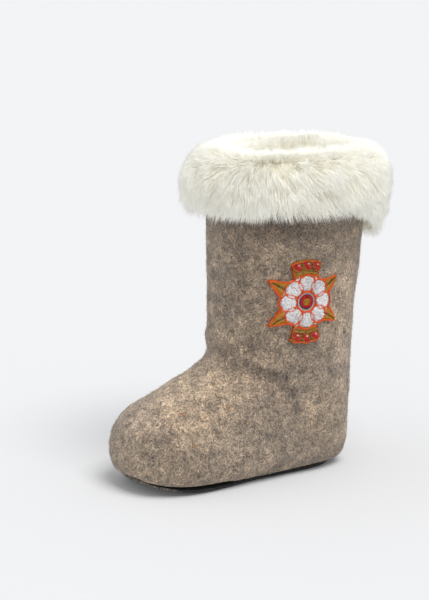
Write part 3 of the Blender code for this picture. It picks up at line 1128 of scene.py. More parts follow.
@dataclass
class FeltBoot:
    """The seamless felt boot itself.

    Attributes:
        finish: The felt's finish.
        folds: Its creases and soft folds, given one by one.
        view: The photo's camera.
        smudges_and_crease_shade: Dark spots picked in the photo, the first six along the ankle crease
            painting its shade: a
        pixel, a radius in millimetres and a strength.
        patches: Those on the far side: a place and a radius in millimetres, and a strength.
        painted_light_spots: Painted light where light falls on the shaft's sides, the heel and the
            toe, given in the same way.
        lump_sizes: Sizes and heights of the felt's unevenness, in millimetres.
        seat: Height under which the felt rests on the sole and keeps its form.
        lip: How far the felt sags round the sole's edge.
        lip_top: Height up to which it sags.
        lip_start: Where the sag starts and is at its full, as Y.
        hem_shade: How dark the painted shadow of the overhanging fur is on the felt up under it.
        hem: Heights at which that shade starts and is at its full.
        foot_end: Where the painted light on the top of the foot starts to fade and ends, as Y.
        foot_toe: Where it starts at the toe and is at its full, as Y.
        foot_low: Heights at which it starts and is at its full.
        foot_high: Heights at which it starts to fade and ends.
    """

    finish: FeltFinish = FeltFinish("grey_beige_wool_felt")
    folds: tuple[Fold, ...] = (
        Fold(((46, -6, 72), (30, -14, 84), (8, -19, 90), (-16, -18, 88), (-38, -8, 78)), 1.5, 5, 0.5),
        Fold(((47, -2, 66), (46, 22, 58), (44, 46, 52)), 0.9, 5, 0.4),
        Fold(((44, 60, 60), (30, 86, 66), (4, 92, 68)), 0.6, 6, 0.3),
        Fold(((-47, -2, 68), (-46, 24, 62), (-44, 48, 60)), 0.9, 5, 0.4),
        Fold(((38, -62, 40), (26, -74, 50), (6, -80, 54)), 0.5, 5, 0.3),
        Fold(((-14, -73, 55), (-4, -80, 52), (4, -84, 47)), 1.0, 2.8, 0.35),
    )
    view: PhotoView = PhotoView()
    smudges_and_crease_shade: tuple[tuple[float, float, float, float], ...] = (
        # The first six follow the ankle crease and paint its shade; the rest are dark spots.
        (222, 357, 7, 0.58), (232, 365, 7, 0.82), (246, 364, 7, 0.74), (258, 371, 7, 0.82),
        (272, 375, 7, 0.82), (286, 377, 7, 0.74), (292, 392, 7, 0.82), (298, 410, 7, 0.74),
        (210, 408, 8, 0.58), (335, 370, 9, 0.58), (325, 388, 9, 0.51), (240, 390, 7, 0.51),
        (158, 440, 10, 0.41), (150, 456, 9, 0.43), (215, 470, 9, 0.36), (240, 250, 12, 0.43),
        (232, 300, 10, 0.36), (262, 345, 9, 0.43), (330, 350, 10, 0.36), (280, 430, 9, 0.36),
        (308, 440, 10, 0.32),
    )
    patches: tuple[tuple[float, float, float, float, float], ...] = (
        (-30, -40, 50, 9, 0.51), (-40, 10, 70, 10, 0.58), (-38, 40, 120, 12, 0.43),
        (-36, 20, 150, 10, 0.36), (-20, 88, 90, 12, 0.43), (10, 92, 60, 10, 0.43),
    )
    painted_light_spots: tuple[tuple[float, float, float, float, float], ...] = (
        (40, 62, 118, 42, 0.75), (38, 70, 152, 32, 0.60), (38, 52, 44, 34, 0.75),
        (10, -92, 30, 26, 0.45), (-40, 50, 120, 34, 0.35),
    )
    lump_sizes: tuple[tuple[float, float], ...] = ((26, 0.7), (13, 0.45), (5, 0.22))
    seat: float = 5 * MM
    lip: float = 1.9 * MM
    lip_top: float = 16 * MM
    lip_start: tuple[float, float] = (-62 * MM, -30 * MM)
    hem_shade: float = 0.80
    hem: tuple[float, float] = (162 * MM, 182 * MM)
    foot_end: tuple[float, float] = (-48 * MM, 4 * MM)
    foot_toe: tuple[float, float] = (-84 * MM, -54 * MM)
    foot_low: tuple[float, float] = (30 * MM, 58 * MM)
    foot_high: tuple[float, float] = (84 * MM, 108 * MM)

    def build(self, node: Object, outsole: Object, effects: Effects) -> Object:
        """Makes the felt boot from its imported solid.

        Args:
            node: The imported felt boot.
            outsole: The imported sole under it.
            effects: The shared effects.

        Returns:
            The felt boot.
        """
        boot = smooth_copy(node, "felt_boot", 2)
        mesh = boot.data
        points, normals = points_of(mesh), normals_of(mesh)
        lift = np.zeros(len(points))
        for seed, (size, height) in enumerate(self.lump_sizes, start=11):
            lift += height * MM * soft_noise(points, size * MM, seed)
        for fold in self.folds:
            lift += fold.lift(points)
        lift *= smooth_step(points[:, 2], self.seat, self.seat + 5 * MM)
        moved = points + normals * lift[:, None]
        moved[:, 2] -= self._sag(moved, points_of(outsole.data))
        move_points(mesh, moved)
        self._dress(mesh, effects)
        return boot

    def _sag(self, points: Array, sole: Array) -> Array:
        """How far the felt sags beside the sole, from the waist to the heel.

        Args:
            points: Places on the felt.
            sole: Places on the sole.

        Returns:
            A length for each place on the felt.
        """
        levels = np.linspace(sole[:, 1].min(), sole[:, 1].max(), 30)
        widths = [np.abs(sole[np.abs(sole[:, 1] - level) < 6 * MM, 0]).max() for level in levels]
        beyond = np.abs(points[:, 0]) - np.interp(points[:, 1], levels, widths)
        beside = smooth_step(beyond, 0.2 * MM, 3.0 * MM)
        behind = smooth_step(points[:, 1], levels[-1], levels[-1] + 3 * MM)
        low = 1 - smooth_step(points[:, 2], self.seat, self.lip_top)
        past_waist = smooth_step(points[:, 1], *self.lip_start)
        return self.lip * np.minimum(beside + behind, 1.0) * low * past_waist

    def _dress(self, mesh: Mesh, effects: Effects) -> None:
        """Gives the felt its finish, with dark spots, painted light on the foot and painted shade.

        Args:
            mesh: The felt boot's mesh.
            effects: The shared effects.
        """
        points = points_of(mesh)
        lengthwise, height = points[:, 1], points[:, 2]
        # Painted shadow of the overhanging fur on the felt up under the cuff.
        shaded = self.hem_shade * smooth_step(height, *self.hem)
        seen = self.view.places(mesh, self.smudges_and_crease_shade) / MM
        smudges_and_crease_shade = tuple((*place, *pick[2:]) for place, pick in zip(seen, self.smudges_and_crease_shade))
        # Dark spots, painted crease shade and the fur's painted shadow, as one value.
        write_values(mesh, "smudge_and_shade", np.maximum(self._spots(points, smudges_and_crease_shade + self.patches), shaded))
        # Painted light on the top of the foot, and on spots where light falls.
        pale = (1 - smooth_step(lengthwise, *self.foot_end)) * smooth_step(height, *self.foot_low)
        pale = pale * (1 - smooth_step(height, *self.foot_high))
        pale = pale * (0.05 + 0.95 * smooth_step(lengthwise, *self.foot_toe))
        write_values(mesh, "pale", np.maximum(pale, self._spots(points, self.painted_light_spots)))
        mesh.materials.append(self.finish.make(effects))

    def _spots(self, points: Array, spots: tuple[tuple[float, ...], ...]) -> Array:
        """How strongly soft round spots cover points.

        Args:
            points: The points, in metres.
            spots: Each spot's place and radius in millimetres, and its strength.

        Returns:
            The strongest cover at each point.
        """
        cover = np.zeros(len(points))
        for x, y, z, radius, strength in spots:
            away = np.linalg.norm(points - np.array((x, y, z)) * MM, axis=1) / (radius * MM)
            cover = np.maximum(cover, strength * (1 - smooth_step(away, 0.3, 1.0)))
        return cover


@dataclass
class FeltNap:
    """The loose fibres on the felt: short ones that stand off it and longer ones curled on it.

    Attributes:
        standing: How many fibres stand off the felt.
        curled: How many longer fibres lie on it.
        height: How far the standing fibres reach.
        curl_length: Length of the lying fibres.
        stand_radius: Half-thickness of the standing fibres.
        curl_radius: Half-thickness of the lying fibres.
        pale_share: How many of the lying fibres are pale, as a share.
        top: Height up to which the felt shows.
        underside: Above which upward part of its normal a place on the felt shows.
        shaft_middle: Where the shaft's middle lies, as Y.
        foot_middle: How far forward and back the foot's middle line reaches, as Y.
        foot_height: Height of the foot's middle line.
        ankle: Height at which the shaft starts.
        view: The photo's camera.
        knots: Pixels where small dark knots of wool were picked in the photo.
        specks: Where more of them lie, in millimetres: at the far side and along the crease.
        flecks: Pixels where single bright fibres lie, each with its finish's number.
        finish: Finish of the fibres.
        fleck_finishes: Finishes of the bright fibres.
        seed: Which random numbers it draws.
    """

    standing: int = 14000
    curled: int = 4500
    height: float = 1.5 * MM
    curl_length: float = 6 * MM
    stand_radius: float = 0.055 * MM
    curl_radius: float = 0.075 * MM
    pale_share: float = 0.62
    top: float = 196 * MM
    underside: float = -0.75
    shaft_middle: float = 35 * MM
    foot_middle: tuple[float, float] = (-60 * MM, 70 * MM)
    foot_height: float = 34 * MM
    ankle: float = 70 * MM
    view: PhotoView = PhotoView()
    knots: tuple[tuple[float, float], ...] = (
        (127, 426), (123, 440), (146, 441), (147, 455), (154, 457), (164, 426), (213, 454),
        (220, 436), (238, 464), (200, 476), (221, 475), (252, 415), (247, 425), (219, 419),
        (236, 466), (268, 436), (248, 458), (292, 392), (296, 408), (212, 405), (236, 370),
        (226, 359), (300, 372), (318, 398), (330, 372), (260, 300), (240, 262), (225, 285),
        (232, 330), (250, 345), (345, 330), (340, 400),
    )
    specks: tuple[tuple[float, float, float], ...] = (
        (-30, -60, 45), (-40, -20, 40), (-40, 20, 55), (-38, 60, 40), (-40, 30, 100),
        (-36, 50, 140), (-20, 90, 70), (10, 95, 110), (18, -13, 82), (25, -6, 82), (28, -3, 81),
        (31, 1, 78), (34, 7, 76), (36, 12, 75), (38, 18, 73), (37, 16, 66), (39, 24, 60),
        (36, 8, 62), (18, -11, 150), (24, -7, 140),
    )
    flecks: tuple[tuple[int, int, int], ...] = (
        (181, 414, 0), (182, 414, 0), (195, 446, 0), (228, 408, 0),
        (155, 450, 1), (153, 448, 1), (285, 437, 1), (286, 437, 1),
    )
    finish: FibreFinish = FibreFinish("loose_wool_fibres")
    fleck_finishes: tuple[FibreFinish, ...] = (
        FibreFinish("orange_fibres", dark=(0.50, 0.17, 0.04), light=(0.75, 0.30, 0.07)),
        FibreFinish("straw_fibres", dark=(0.70, 0.62, 0.46), light=(0.86, 0.80, 0.66)),
    )
    seed: int = 3

    def build(self, boot: Object, effects: Effects) -> list[Object]:
        """Makes the fibres on the outside of the felt.

        Args:
            boot: The felt boot.
            effects: The shared effects.

        Returns:
            The standing fibres, the curled ones, the knots and the bright flecks.
        """
        material = self.finish.make(effects)
        chance = np.random.default_rng(self.seed)
        roots, normals = self._scatter(boot.data, self.standing, chance)
        fuzz = self._stand(roots, normals, chance).build("standing_wool_fibres")
        roots, normals = self._scatter(boot.data, self.curled, chance)
        curls = self._curl(roots, normals, chance).build("curled_wool_fibres")
        knots = self._knots(boot, chance).build("dark_wool_knots")
        for piece in (fuzz, curls, knots):
            piece.data.materials.append(material)
        flecks = self._bright(boot, chance).build("bright_fibre_flecks")
        for finish in self.fleck_finishes:
            flecks.data.materials.append(finish.make(effects))
        return [fuzz, curls, knots, flecks]

    def _on_felt(self, boot: Object, places: Array) -> tuple[Array, Array]:
        """Brings places onto the felt.

        Args:
            boot: The felt boot.
            places: The places.

        Returns:
            The nearest points of the felt, and its normals there.
        """
        tree = BVHTree.FromObject(boot, bpy.context.evaluated_depsgraph_get())
        found = np.array([tree.find_nearest(Vector(place))[:2] for place in places])
        return found[:, 0], found[:, 1]

    def _knots(self, boot: Object, chance: Chance) -> Strands:
        """Small knots of dark wool pressed into the felt.

        Args:
            boot: The felt boot.
            chance: The source of random numbers.

        Returns:
            The fibres.
        """
        seen = self.view.places(boot.data, self.knots)
        specks = np.concatenate((seen, np.array(self.specks) * MM))
        each = chance.integers(9, 30, len(specks))
        size = np.repeat(0.35 + 0.045 * each, each)[:, None] * MM
        places = np.repeat(specks, each, axis=0)
        stretch = np.repeat(unit(chance.normal(size=(len(specks), 3))), each, axis=0)
        places = places + chance.normal(size=places.shape) * size
        places = places + stretch * chance.normal(size=(len(places), 1)) * size * 0.8
        roots, normals = self._on_felt(boot, places)
        strands = self._curl(roots, normals, chance)
        middle = strands.lines.mean(axis=1, keepdims=True)
        lines = middle + (strands.lines - middle) * 0.45 - normals[:, None] * 0.05 * MM
        return Strands(lines, strands.radii * 1.15, chance.uniform(0.0, 0.12, len(roots)))

    def _bright(self, boot: Object, chance: Chance) -> Strands:
        """Single bright fibres, five at each place.

        Args:
            boot: The felt boot.
            chance: The source of random numbers.

        Returns:
            The fibres.
        """
        seen = np.repeat(self.view.places(boot.data, self.flecks), 5, axis=0)
        places = seen + chance.normal(size=seen.shape) * 0.5 * MM
        roots, normals = self._on_felt(boot, places)
        strands = self._curl(roots, normals, chance)
        lines = strands.lines + normals[:, None] * 0.1 * MM
        middle = lines.mean(axis=1, keepdims=True)
        lines = middle + (lines - middle) * 0.6
        finish = np.repeat(np.array(self.flecks)[:, 2], 5)
        return Strands(lines, strands.radii * 1.3, chance.random(len(seen)), finish)

    def _scatter(self, mesh: Mesh, count: int, chance: Chance) -> tuple[Array, Array]:
        """Chooses places evenly over the outside of the felt that shows.

        Args:
            mesh: The felt boot's mesh.
            count: How many places.
            chance: The source of random numbers.

        Returns:
            The places and the felt's normals there.
        """
        mesh.calc_loop_triangles()
        corners = np.empty(len(mesh.loop_triangles) * 3, np.int32)
        mesh.loop_triangles.foreach_get("vertices", corners)
        triangles = points_of(mesh)[corners.reshape(-1, 3)]
        a, b, c = triangles[:, 0], triangles[:, 1], triangles[:, 2]
        facing = np.cross(b - a, c - a)
        area = np.linalg.norm(facing, axis=1)
        middle = triangles.mean(axis=1)
        on_shaft = middle[:, 2] > self.ankle
        core = np.zeros_like(middle)
        core[:, 1] = np.where(on_shaft, self.shaft_middle, np.clip(middle[:, 1], *self.foot_middle))
        core[:, 2] = np.where(on_shaft, middle[:, 2], self.foot_height)
        outside = np.einsum("ij,ij->i", facing, middle - core) > 0
        area = area * (outside & (middle[:, 2] < self.top) & (unit(facing)[:, 2] > self.underside))
        chosen = chance.choice(len(area), count, p=area / area.sum())
        u, v = chance.random((2, count))
        fold_over = u + v > 1
        u, v = np.where(fold_over, 1 - u, u), np.where(fold_over, 1 - v, v)
        a, b, c = a[chosen], b[chosen], c[chosen]
        return a + (b - a) * u[:, None] + (c - a) * v[:, None], unit(facing[chosen])

    def _stand(self, roots: Array, normals: Array, chance: Chance) -> Strands:
        """Short fibres that stand off the felt and bend over.

        Args:
            roots: Places on the felt.
            normals: The felt's normals there.
            chance: The source of random numbers.

        Returns:
            The fibres.
        """
        count = len(roots)
        lean = unit(np.cross(normals, chance.normal(size=(count, 3))))
        length = self.height * chance.uniform(0.4, 1.3, (count, 1))
        middle = roots + (normals * 0.75 + lean * 0.5) * length * 0.6
        tip = middle + (normals * chance.uniform(0.0, 0.7, (count, 1)) + lean) * length * 0.7
        lines = np.stack([roots - normals * 0.1 * MM, middle, tip], axis=1)
        radii = self.stand_radius * chance.uniform(0.7, 1.2, (count, 1))
        return Strands(lines, radii, chance.beta(2.2, 1.1, count))

    def _curl(self, roots: Array, normals: Array, chance: Chance) -> Strands:
        """Longer fibres that lie curled on the felt.

        Args:
            roots: Places on the felt.
            normals: The felt's normals there.
            chance: The source of random numbers.

        Returns:
            The fibres.
        """
        count = len(roots)
        ahead = unit(np.cross(normals, chance.normal(size=(count, 3))))
        beside = np.cross(normals, ahead)
        length = self.curl_length * chance.uniform(0.5, 1.3, (count, 1))
        bend = chance.uniform(-1.6, 1.6, (count, 1))
        lines = []
        for share, rise in ((-0.5, -0.1), (-0.25, 0.16), (0.0, 0.24), (0.25, 0.16), (0.5, -0.1)):
            angle = bend * share
            way = ahead * np.cos(angle) + beside * np.sin(angle) * 1.2
            lines.append(roots + way * length * share + normals * rise * MM)
        radii = np.full((count, 3), self.curl_radius) * chance.uniform(0.7, 1.3, (count, 1))
        pale = chance.random(count) < self.pale_share
        tone = np.where(pale, chance.uniform(0.7, 1.0, count), chance.uniform(0.0, 0.25, count))
        return Strands(np.stack(lines, axis=1), radii, tone)


@dataclass(frozen=True)
class Brushing:
    """Which way the hair points at one place of the strip's section.

    Angles are in degrees, 0 straight out from the shaft, 90 up and 180 into the collar.

    Attributes:
        share: The place on the section, 0 at the outer hem and 1 at the inner one.
        root: The hair's angle where it leaves the skin.
        tip: Its angle at its tip.
        length: Its length.
    """

    share: float
    root: float
    tip: float
    length: float


@dataclass
class FurCuff:
    """The white fur strip, turned over the collar's rim.

    Attributes:
        rim: Height of the felt's rim.
        drop: How far the strip hangs below the rim.
        back_dip: How much lower it hangs at the back, where its ends meet.
        brushing: How its hair lies, from the outer hem to the inner one.
        part_turn: Where round the shaft the hair parts to both sides, in degrees.
        part_sweep: How far it leans away from there.
        part_arc: How much lower the hair parts away from there, as a share of the section.
        part_width: Angle round the shaft over which it does so, in radians.
        wave: How far the hair's angle wanders, in degrees.
        back_trim: How much thinner the fur lies at the back, as a share.
        locks: How many locks grow on it.
        hairs_each: How many hairs each lock has.
        lock_radius: How far a lock's roots spread.
        girth: Radius round which the locks' roots spread.
        strip: Length of the strip's section over which they spread.
        gather: How strongly a lock's tips draw together.
        hair_radius: Half-thickness of a hair.
        hair_finish: Finish of the hair.
        mouth_share: From which place on the section the hair is the mouth's.
        mouth_finish: Finish of that hair, which glows more, painted light in the shaded mouth.
        skin_finish: Finish of the strip under it, which glows a little as painted light.
        skin_sides: How many sides the strip's ring has.
        felt_thickness: Thickness of the felt that it is turned over.
        seed: Which random numbers it draws.
    """

    rim: float = 216.2 * MM
    drop: float = 24 * MM
    back_dip: float = 26 * MM
    brushing: tuple[Brushing, ...] = (
        Brushing(0.00, -42, -84, 13 * MM),
        Brushing(0.14, -30, -82, 16.5 * MM),
        Brushing(0.30, -16, -76, 17 * MM),
        Brushing(0.41, 2, -66, 16 * MM),
        Brushing(0.50, 20, -44, 14.5 * MM),
        Brushing(0.58, 44, -2, 12.5 * MM),
        Brushing(0.65, 70, 56, 11 * MM),
        Brushing(0.72, 92, 112, 11 * MM),
        Brushing(0.80, 124, 146, 15 * MM),
        Brushing(1.00, 160, 178, 14 * MM),
    )
    part_turn: float = 44
    part_sweep: float = 0.42
    part_arc: float = 0.06
    part_width: float = 0.55
    wave: float = 9
    back_trim: float = 0.24
    locks: int = 2100
    hairs_each: int = 21
    lock_radius: float = 2.6 * MM
    girth: float = 60 * MM
    strip: float = 62 * MM
    gather: float = 0.37
    hair_radius: float = 0.135 * MM
    # All the fur glows a little as painted light, the mouth's hair most, to lift its shade.
    hair_finish: FurFinish = FurFinish("white_fur_hair", glow=0.175)
    mouth_share: float = 0.72
    mouth_finish: FurFinish = FurFinish("white_fur_mouth_glowing", glow=0.25)
    skin_finish: FurFinish = FurFinish("white_fur_skin", roughness=0.9, glow=0.14)
    skin_sides: int = 72
    felt_thickness: float = 5 * MM
    seed: int = 21

    def section(self, turns: Array) -> Array:
        """The strip's skin at turns round the shaft, in section.

        Args:
            turns: Angles round the shaft.

        Returns:
            Turns by points by two lengths: outward from the felt, and height.
        """
        low = self.drop + self.back_dip * np.minimum(np.sin(turns), 0.0) ** 2
        hem, rim = self.rim - low, np.full(len(turns), self.rim)
        rows = (
            (1.6, hem + 0.02 * low),
            (5.0, hem + 0.08 * low),
            (7.6, hem + 0.35 * low),
            (7.8, hem + 0.66 * low),
            (5.6, hem + 0.90 * low),
            (2.0, rim + 2.6 * MM),
            (-3.0, rim + 4.6 * MM),
            (-8.0, rim + 4.4 * MM),
            (-11.6, rim + 1.6 * MM),
            (-12.8, rim - 4.0 * MM),
            (-11.0, rim - 9.0 * MM),
            (-7.0, rim - 11.0 * MM),
        )
        slim = (1 - self.back_trim * np.maximum(-np.sin(turns), 0.0)) * MM
        return np.stack([np.stack([out * slim, height], axis=-1) for out, height in rows], axis=1)

    def build(self, shaft: ShaftForm, effects: Effects) -> list[Object]:
        """Makes the strip's skin and its hair.

        Args:
            shaft: The shaft that the strip lies round.
            effects: The shared effects.

        Returns:
            The skin and the pieces of hair.
        """
        pieces = [self._skin(shaft)]
        pieces[0].data.materials.append(self.skin_finish.make(effects))
        hair, mouth_hair = self.hair_finish.make(effects), self.mouth_finish.make(effects)
        lines, tone, turns, shares = self._hair(shaft)
        sides = ("outer", "front", "inner", "back", "mouth")
        side = np.floor(turns / (math.pi / 2) + 0.5).astype(int) % 4
        side[shares > self.mouth_share] = sides.index("mouth")
        for number, name in enumerate(sides):
            here = side == number
            radii = self.hair_radius * np.array([1.0, 0.75]) * (0.75 + 0.5 * tone[here, None])
            piece = Strands(lines[here], radii, tone[here]).build(f"fur_hair_{name}")
            piece.data.materials.append(mouth_hair if name == "mouth" else hair)
            pieces.append(piece)
        return pieces

    def _skin(self, shaft: ShaftForm) -> Object:
        """The closed strip under the hair, bridged ring by ring.

        Args:
            shaft: The shaft that the strip lies round.

        Returns:
            The strip.
        """
        shape = bmesh.new()
        count = self.skin_sides
        turns = 2 * math.pi * np.arange(count) / count
        outer = self.section(turns)
        gap, lift = 0.4 * MM, 0.6 * MM
        inner = -self.felt_thickness - gap
        inner_side = ((inner, -10 * MM), (inner, lift), (gap, lift), (gap, -2 * MM))
        rings = [outer[:, i] for i in range(outer.shape[1])]
        rings += [np.tile(np.array((out, self.rim + rise)), (count, 1)) for out, rise in inner_side]
        rings.append(np.stack([np.full(count, gap), outer[:, 0, 1]], axis=-1))
        loops = []
        for ring in rings:
            made = bmesh.ops.create_circle(shape, segments=count, radius=1.0)
            places, _ = shaft.around(turns, ring[:, 0], ring[:, 1])
            for vertex, place in zip(made["verts"], places):
                vertex.co = place
            loops.append(list({edge for vertex in made["verts"] for edge in vertex.link_edges}))
        for first, second in zip(loops, loops[1:] + loops[:1]):
            bmesh.ops.bridge_loops(shape, edges=first + second)
        bmesh.ops.recalc_face_normals(shape, faces=shape.faces)
        skin = object_of_shape(shape, "fur_skin")
        skin.data.shade_smooth()
        write_evenly(skin.data, 0.5, 0.2)
        return skin

    def _on_skin(self, shaft: ShaftForm, turns: Array, shares: Array) -> tuple[Array, Array]:
        """Places on the skin.

        Args:
            shaft: The shaft that the strip lies round.
            turns: Angles round the shaft.
            shares: Places on the strip's section, from 0 to 1.

        Returns:
            The places, and the level directions away from the shaft.
        """
        section = self.section(turns)
        steps = np.linalg.norm(np.diff(section, axis=1), axis=2)
        reached = np.concatenate([np.zeros((len(turns), 1)), np.cumsum(steps, axis=1)], axis=1)
        target = np.clip(shares, 0.0, 0.9999) * reached[:, -1]
        row = np.minimum((reached[:, 1:] < target[:, None]).sum(axis=1), section.shape[1] - 2)
        pick = np.arange(len(turns))
        start, end = section[pick, row], section[pick, row + 1]
        part = (target - reached[pick, row]) / np.maximum(steps[pick, row], 1e-9)
        place = start + (end - start) * part[:, None]
        return shaft.around(turns, place[:, 0], place[:, 1])

    def _hair(self, shaft: ShaftForm) -> tuple[Array, Array, Array, Array]:
        """The lines of all hairs.

        Args:
            shaft: The shaft that the strip lies round.

        Returns:
            The hairs' lines, their tones, and the turns and shares of their roots.
        """
        chance = np.random.default_rng(self.seed)
        lock_turn = 2 * math.pi * (np.arange(self.locks) * GOLDEN_SHARE % 1.0)
        lock_share = (np.arange(self.locks) + 0.5) / self.locks
        chance.shuffle(lock_share)
        lock_line = self._lines(shaft, lock_turn, lock_share, chance, 1.0)
        lock_of = np.repeat(np.arange(self.locks), self.hairs_each)
        count = len(lock_of)
        spread = chance.normal(size=(count, 2)) * self.lock_radius
        turn = lock_turn[lock_of] + spread[:, 0] / self.girth
        share = np.clip(lock_share[lock_of] + spread[:, 1] / self.strip, 0.004, 0.99)
        line = self._lines(shaft, turn, share, chance, 0.7)
        pull = self.gather * np.array([0.0, 0.15, 0.6, 1.0])[None, :, None]
        line = line * (1 - pull) + lock_line[lock_of] * pull
        lock_tone = chance.uniform(0.3, 0.8, self.locks)[lock_of]
        tone = np.clip(lock_tone + chance.normal(0, 0.15, count), 0, 1)
        return line, tone, turn, share

    def _lines(
        self, shaft: ShaftForm, turns: Array, shares: Array, chance: Chance, freedom: float
    ) -> Array:
        """Bent lines of hair from their places on the skin.

        Args:
            shaft: The shaft that the strip lies round.
            turns: Angles of their roots round the shaft.
            shares: Places of their roots on the strip's section.
            chance: The source of random numbers.
            freedom: How far they stray from the brushed way.

        Returns:
            Hairs by four points by three lengths.
        """
        count = len(turns)
        roots, level = self._on_skin(shaft, turns, shares)
        sideways = np.stack([-level[:, 1], level[:, 0], np.zeros(count)], axis=1)
        up = np.array([0.0, 0.0, 1.0])
        keys = np.array([(b.share, b.root, b.tip, b.length) for b in self.brushing])
        from_part = math.radians(self.part_turn) - turns
        from_part = np.arctan2(np.sin(from_part), np.cos(from_part))
        place = shares + self.part_arc * (1 - np.exp(-((from_part / self.part_width) ** 2)))
        wave = self.wave * (soft_noise(roots, 24 * MM, 5) + 0.5 * soft_noise(roots, 9 * MM, 6))
        root_angle = np.radians(np.interp(place, keys[:, 0], keys[:, 1]) + wave)
        tip_angle = np.radians(np.interp(place, keys[:, 0], keys[:, 2]) + wave)
        length = np.interp(place, keys[:, 0], keys[:, 3])[:, None]
        length = length * (1 - 0.7 * self.back_trim * np.maximum(-np.sin(turns), 0.0))[:, None]
        ragged = 0.13 + 0.10 * (1 - smooth_step(shares, 0.08, 0.22))[:, None]
        length = length * (1 + ragged * freedom * chance.normal(size=(count, 1)))
        sweep = self.part_sweep * np.sin(2 * from_part)
        sweep = sweep * (1 - smooth_step(shares, 0.50, 0.66)) + 0.26 * soft_noise(roots, 17 * MM, 7)
        sweep = (sweep + 0.10 * freedom * chance.normal(size=count))[:, None]
        stray = freedom * chance.normal(size=(count, 3))
        first = level * np.cos(root_angle)[:, None] + up * np.sin(root_angle)[:, None]
        last = level * np.cos(tip_angle)[:, None] + up * np.sin(tip_angle)[:, None]
        first = unit(first + sideways * sweep * 0.6 + 0.10 * stray)
        last = unit(last + sideways * sweep + 0.13 * stray[:, ::-1])
        middle = unit(first + last)
        one = roots + first * length * 0.30
        two = one + middle * length * 0.35
        tip = two + last * length * 0.35
        return np.stack([roots - first * 0.8 * MM, one, two, tip], axis=1)


class Thread(Enum):
    """The colours of embroidery thread."""

    WHITE = 0
    # A darker copy of the white thread, for painted shade in the petals.
    SHADE_GREY = 1
    ORANGE = 2
    GOLD = 3
    RED = 4
    BROWN = 5


@dataclass
class StitchBook:
    """Collects stitches on the boot's outer side before they are made as one piece.

    Attributes:
        starts: Where each stitch starts: how far towards the toe and up from the design's middle.
        ends: Where it ends.
        threads: Its thread.
        crowns: How high it stands at its middle.
    """

    starts: list[Array] = field(default_factory=list)
    ends: list[Array] = field(default_factory=list)
    threads: list[Array] = field(default_factory=list)
    crowns: list[Array] = field(default_factory=list)

    def sew(self, starts: Array, ends: Array, thread: Thread, crown: float) -> None:
        """Adds stitches of one thread.

        Args:
            starts: Where they start, one row of two lengths each.
            ends: Where they end.
            thread: Their thread.
            crown: How high they stand at their middles.
        """
        self.starts.append(starts)
        self.ends.append(ends)
        self.threads.append(np.full(len(starts), thread.value))
        self.crowns.append(np.full(len(starts), crown))

    def lay(self, middles: Array, halves: Array, thread: Thread, crown: float) -> None:
        """Adds stitches of one thread, given by their middles.

        Args:
            middles: Their middles, one row of two lengths each.
            halves: The way from a middle to a stitch's end, for each or for all.
            thread: Their thread.
            crown: How high they stand at their middles.
        """
        self.sew(middles - halves, middles + halves, thread, crown)


